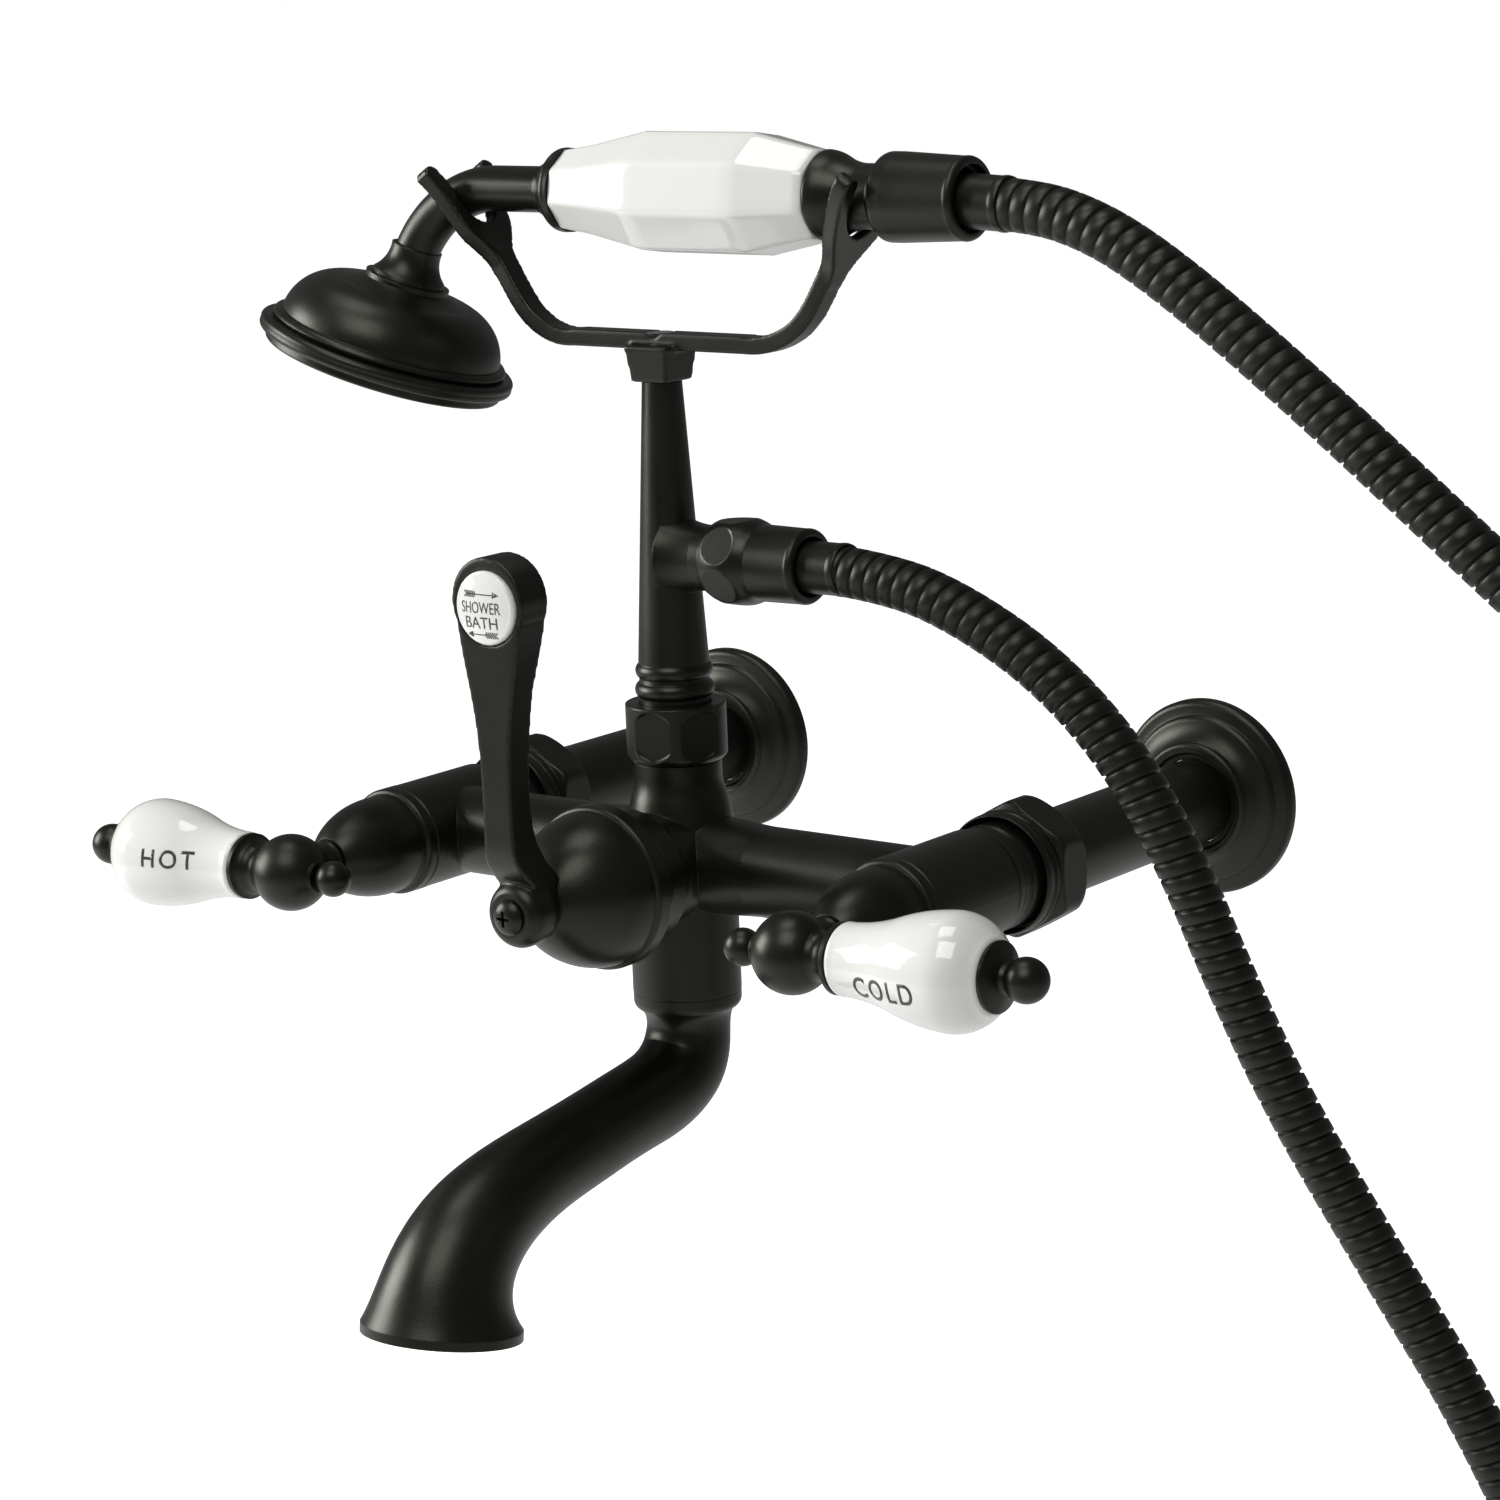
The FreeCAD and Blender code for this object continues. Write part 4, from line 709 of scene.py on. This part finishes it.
# ------------------------------------------------------------ wall flanges
# A thin turned shell of brass round each arm, which slides up against the wall and hides the hole in it.
# It has a round rim, a step and an ogee, and inside its mouth a lip that closes on the arm.
flange_line = profile([
    (27.45, 0.0), (29.25, 0.0), (29.25, 2.2), ((28.55, 3.6), (27.05, 4.2)), (24.85, 4.6),
    ((24.25, 5.6), (23.05, 6.2)), ((20.0, 7.4), (17.6, 9.4)), ((16.9, 10.8), (15.6, 10.8)), (14.6, 10.8),
    (14.2, 9.6), (12.56, 9.6), (12.56, 8.6), (15.2, 8.6), ((18.6, 5.6), (21.65, 4.2)),
    (22.05, 2.9), (27.45, 2.6),
], 0.35, True)
for side, x in (("left", -inlet_x), ("right", inlet_x)):
    flange = whole(side + "_flange", [spun(flange_line, (x, 0.0, 0.0), (0.0, -1.0, 0.0), 160, True)])
    finished(flange, black, "faucet", "matte_black", side + "_wall_flange")

# ------------------------------------------------------------ riser nut and hose nut
# Both nuts are turned round and then milled with shallow round flats for the spanner: two opposite pairs
# on the riser nut, and three on the hose nut.
def milled(apothem, reach, middle, turned_by, pairs):
    """Round flats: where a point's distance along a flat and from its middle is inside a disc, the
    radius drops to apothem / cos(angle from the flat), through a narrow smooth step at the disc's
    edge."""
    def shape(r, h, t):
        from_flat = (t - turned_by + math.pi / 6) % (math.pi / 3) - math.pi / 6
        away = np.hypot(r * np.sin(from_flat), h - middle)
        inside = np.clip((reach - away) / 0.00035 + 0.5, 0.0, 1.0)
        inside = inside * inside * (3 - 2 * inside)
        which = np.round((t - turned_by) / (math.pi / 3)) % 3
        inside = np.where(which >= 3 - pairs, inside, 0.0)
        flat = np.minimum(r, apothem / np.cos(from_flat))
        return np.where(r > apothem * 0.8, r + (flat - r) * inside, r)
    return shape


def finer(line, longest=0.25):
    """Adds points along an outline so that no step is longer than that many millimetres."""
    made = [line[:1]]
    for p, q in zip(line[:-1], line[1:]):
        count = max(1, int(math.ceil(np.linalg.norm(q - p) / longest)))
        made.append(p + (q - p) * (np.arange(1, count + 1) / count)[:, None])
    return np.concatenate(made)


riser_nut_line = profile([(10.15, 29.5), (12.9, 29.5), (14.2, 30.9), (14.2, 45.8), (10.15, 45.8)], 0.5, True)
start = np.argmin(riser_nut_line[:, 0] * 100 + riser_nut_line[:, 1])
riser_nut_line = finer(np.roll(riser_nut_line, -start, axis=0))
a, u, v = axes_about((0.0, 0.0, 1.0))
first_flat = np.array([math.cos(math.radians(38)), math.sin(math.radians(38)), 0.0])
turned_by = math.atan2(float(first_flat @ v), float(first_flat @ u))
nut = whole("riser_nut_milled", [spun(riser_nut_line, (0.0, body_y, 0.0), (0.0, 0.0, 1.0), 360, True,
                                      milled(0.01290, 0.0070, 0.0379, turned_by, 2))])
finished(nut, black, "faucet", "matte_black", "riser_nut")

outlet_z = 0.0874
hose_nut_line = profile([
    (8.4, 17.0), (10.0, 17.0), ((12.5, 24.0), (10.9, 32.6)), (10.6, 33.6), (10.4, 47.4),
    ((10.1, 49.0), (8.9, 49.6)),
    (8.2, 49.6), (8.2, 44.0), (7.6, 43.4), (7.6, 31.2), (8.4, 31.2),
], 0.35, True)
hose_nut_line = finer(hose_nut_line)
a, u, v = axes_about((1.0, 0.0, 0.0))
first_flat = np.array([0.0, math.cos(math.radians(30)), math.sin(math.radians(30))])
turned_by = math.atan2(float(first_flat @ v), float(first_flat @ u))
nut = whole("hose_nut_milled", [spun(hose_nut_line, (0.0, body_y, outlet_z), (1.0, 0.0, 0.0), 300, True,
                                     milled(0.0112, 0.0060, 0.0240, turned_by, 3))])
finished(nut, black, "faucet", "matte_black", "lower_hose_nut")

# ------------------------------------------------------------ studio
# A pale floor under the loop of the hose, three large soft lights and a white surround.
def studio_surface(name, colour):
    """Matte paper, which the camera sees as nearly white and which lights the piece from below only a
    little."""
    material = bpy.data.materials.new(name)
    material.use_nodes = True
    nodes, links = material.node_tree.nodes, material.node_tree.links
    shader = nodes["Principled BSDF"]
    shader.inputs["Base Color"].default_value = colour
    shader.inputs["Roughness"].default_value = 0.9
    shader.inputs["Emission Color"].default_value = (1.0, 1.0, 1.0, 1.0)
    path = nodes.new("ShaderNodeLightPath")
    glow = nodes.new("ShaderNodeMapRange")
    glow.inputs["To Min"].default_value = 0.16
    glow.inputs["To Max"].default_value = 0.95
    links.new(path.outputs["Is Camera Ray"], glow.inputs["Value"])
    links.new(glow.outputs["Result"], shader.inputs["Emission Strength"])
    return material


floor_size = 6.0
floor = mesh_object("floor", np.array([[-floor_size, -floor_size, -0.50], [floor_size, -floor_size, -0.50],
                                       [floor_size, floor_size, -0.50], [-floor_size, floor_size, -0.50]]),
                    np.array([[0, 1, 2, 3]]), smooth=False)
floor.data.materials.append(studio_surface("paper", (0.93, 0.93, 0.93, 1.0)))


def soft_light(name, place, target, size, power):
    """A square area light that faces a point."""
    lamp = bpy.data.lights.new(name, "AREA")
    lamp.shape = "SQUARE"
    lamp.size = size
    lamp.energy = power
    holder = bpy.data.objects.new(name, lamp)
    holder.location = place
    holder.rotation_euler = (Vector(target) - Vector(place)).to_track_quat("-Z", "Y").to_euler()
    bpy.context.scene.collection.objects.link(holder)


soft_light("key_light", (-1.6, -0.95, 0.55), (0.0, -0.1, 0.0), 0.9, 31.0)
soft_light("fill_light", (0.3, -1.3, 1.6), (0.0, -0.1, 0.0), 1.1, 16.0)
soft_light("top_light", (-0.3, -0.2, 1.9), (0.0, -0.1, 0.0), 0.8, 7.0)
world = bpy.data.worlds.new("surround")
world.use_nodes = True
sky = world.node_tree.nodes["Background"]
sky.inputs["Color"].default_value = (1.0, 1.0, 1.0, 1.0)
seen = world.node_tree.nodes.new("ShaderNodeLightPath")
brightness = world.node_tree.nodes.new("ShaderNodeMapRange")
brightness.inputs["To Min"].default_value = 0.14
brightness.inputs["To Max"].default_value = 1.0
world.node_tree.links.new(seen.outputs["Is Camera Ray"], brightness.inputs["Value"])
world.node_tree.links.new(brightness.outputs["Result"], sky.inputs["Strength"])
bpy.context.scene.world = world
bpy.context.scene.view_settings.view_transform = "Standard"
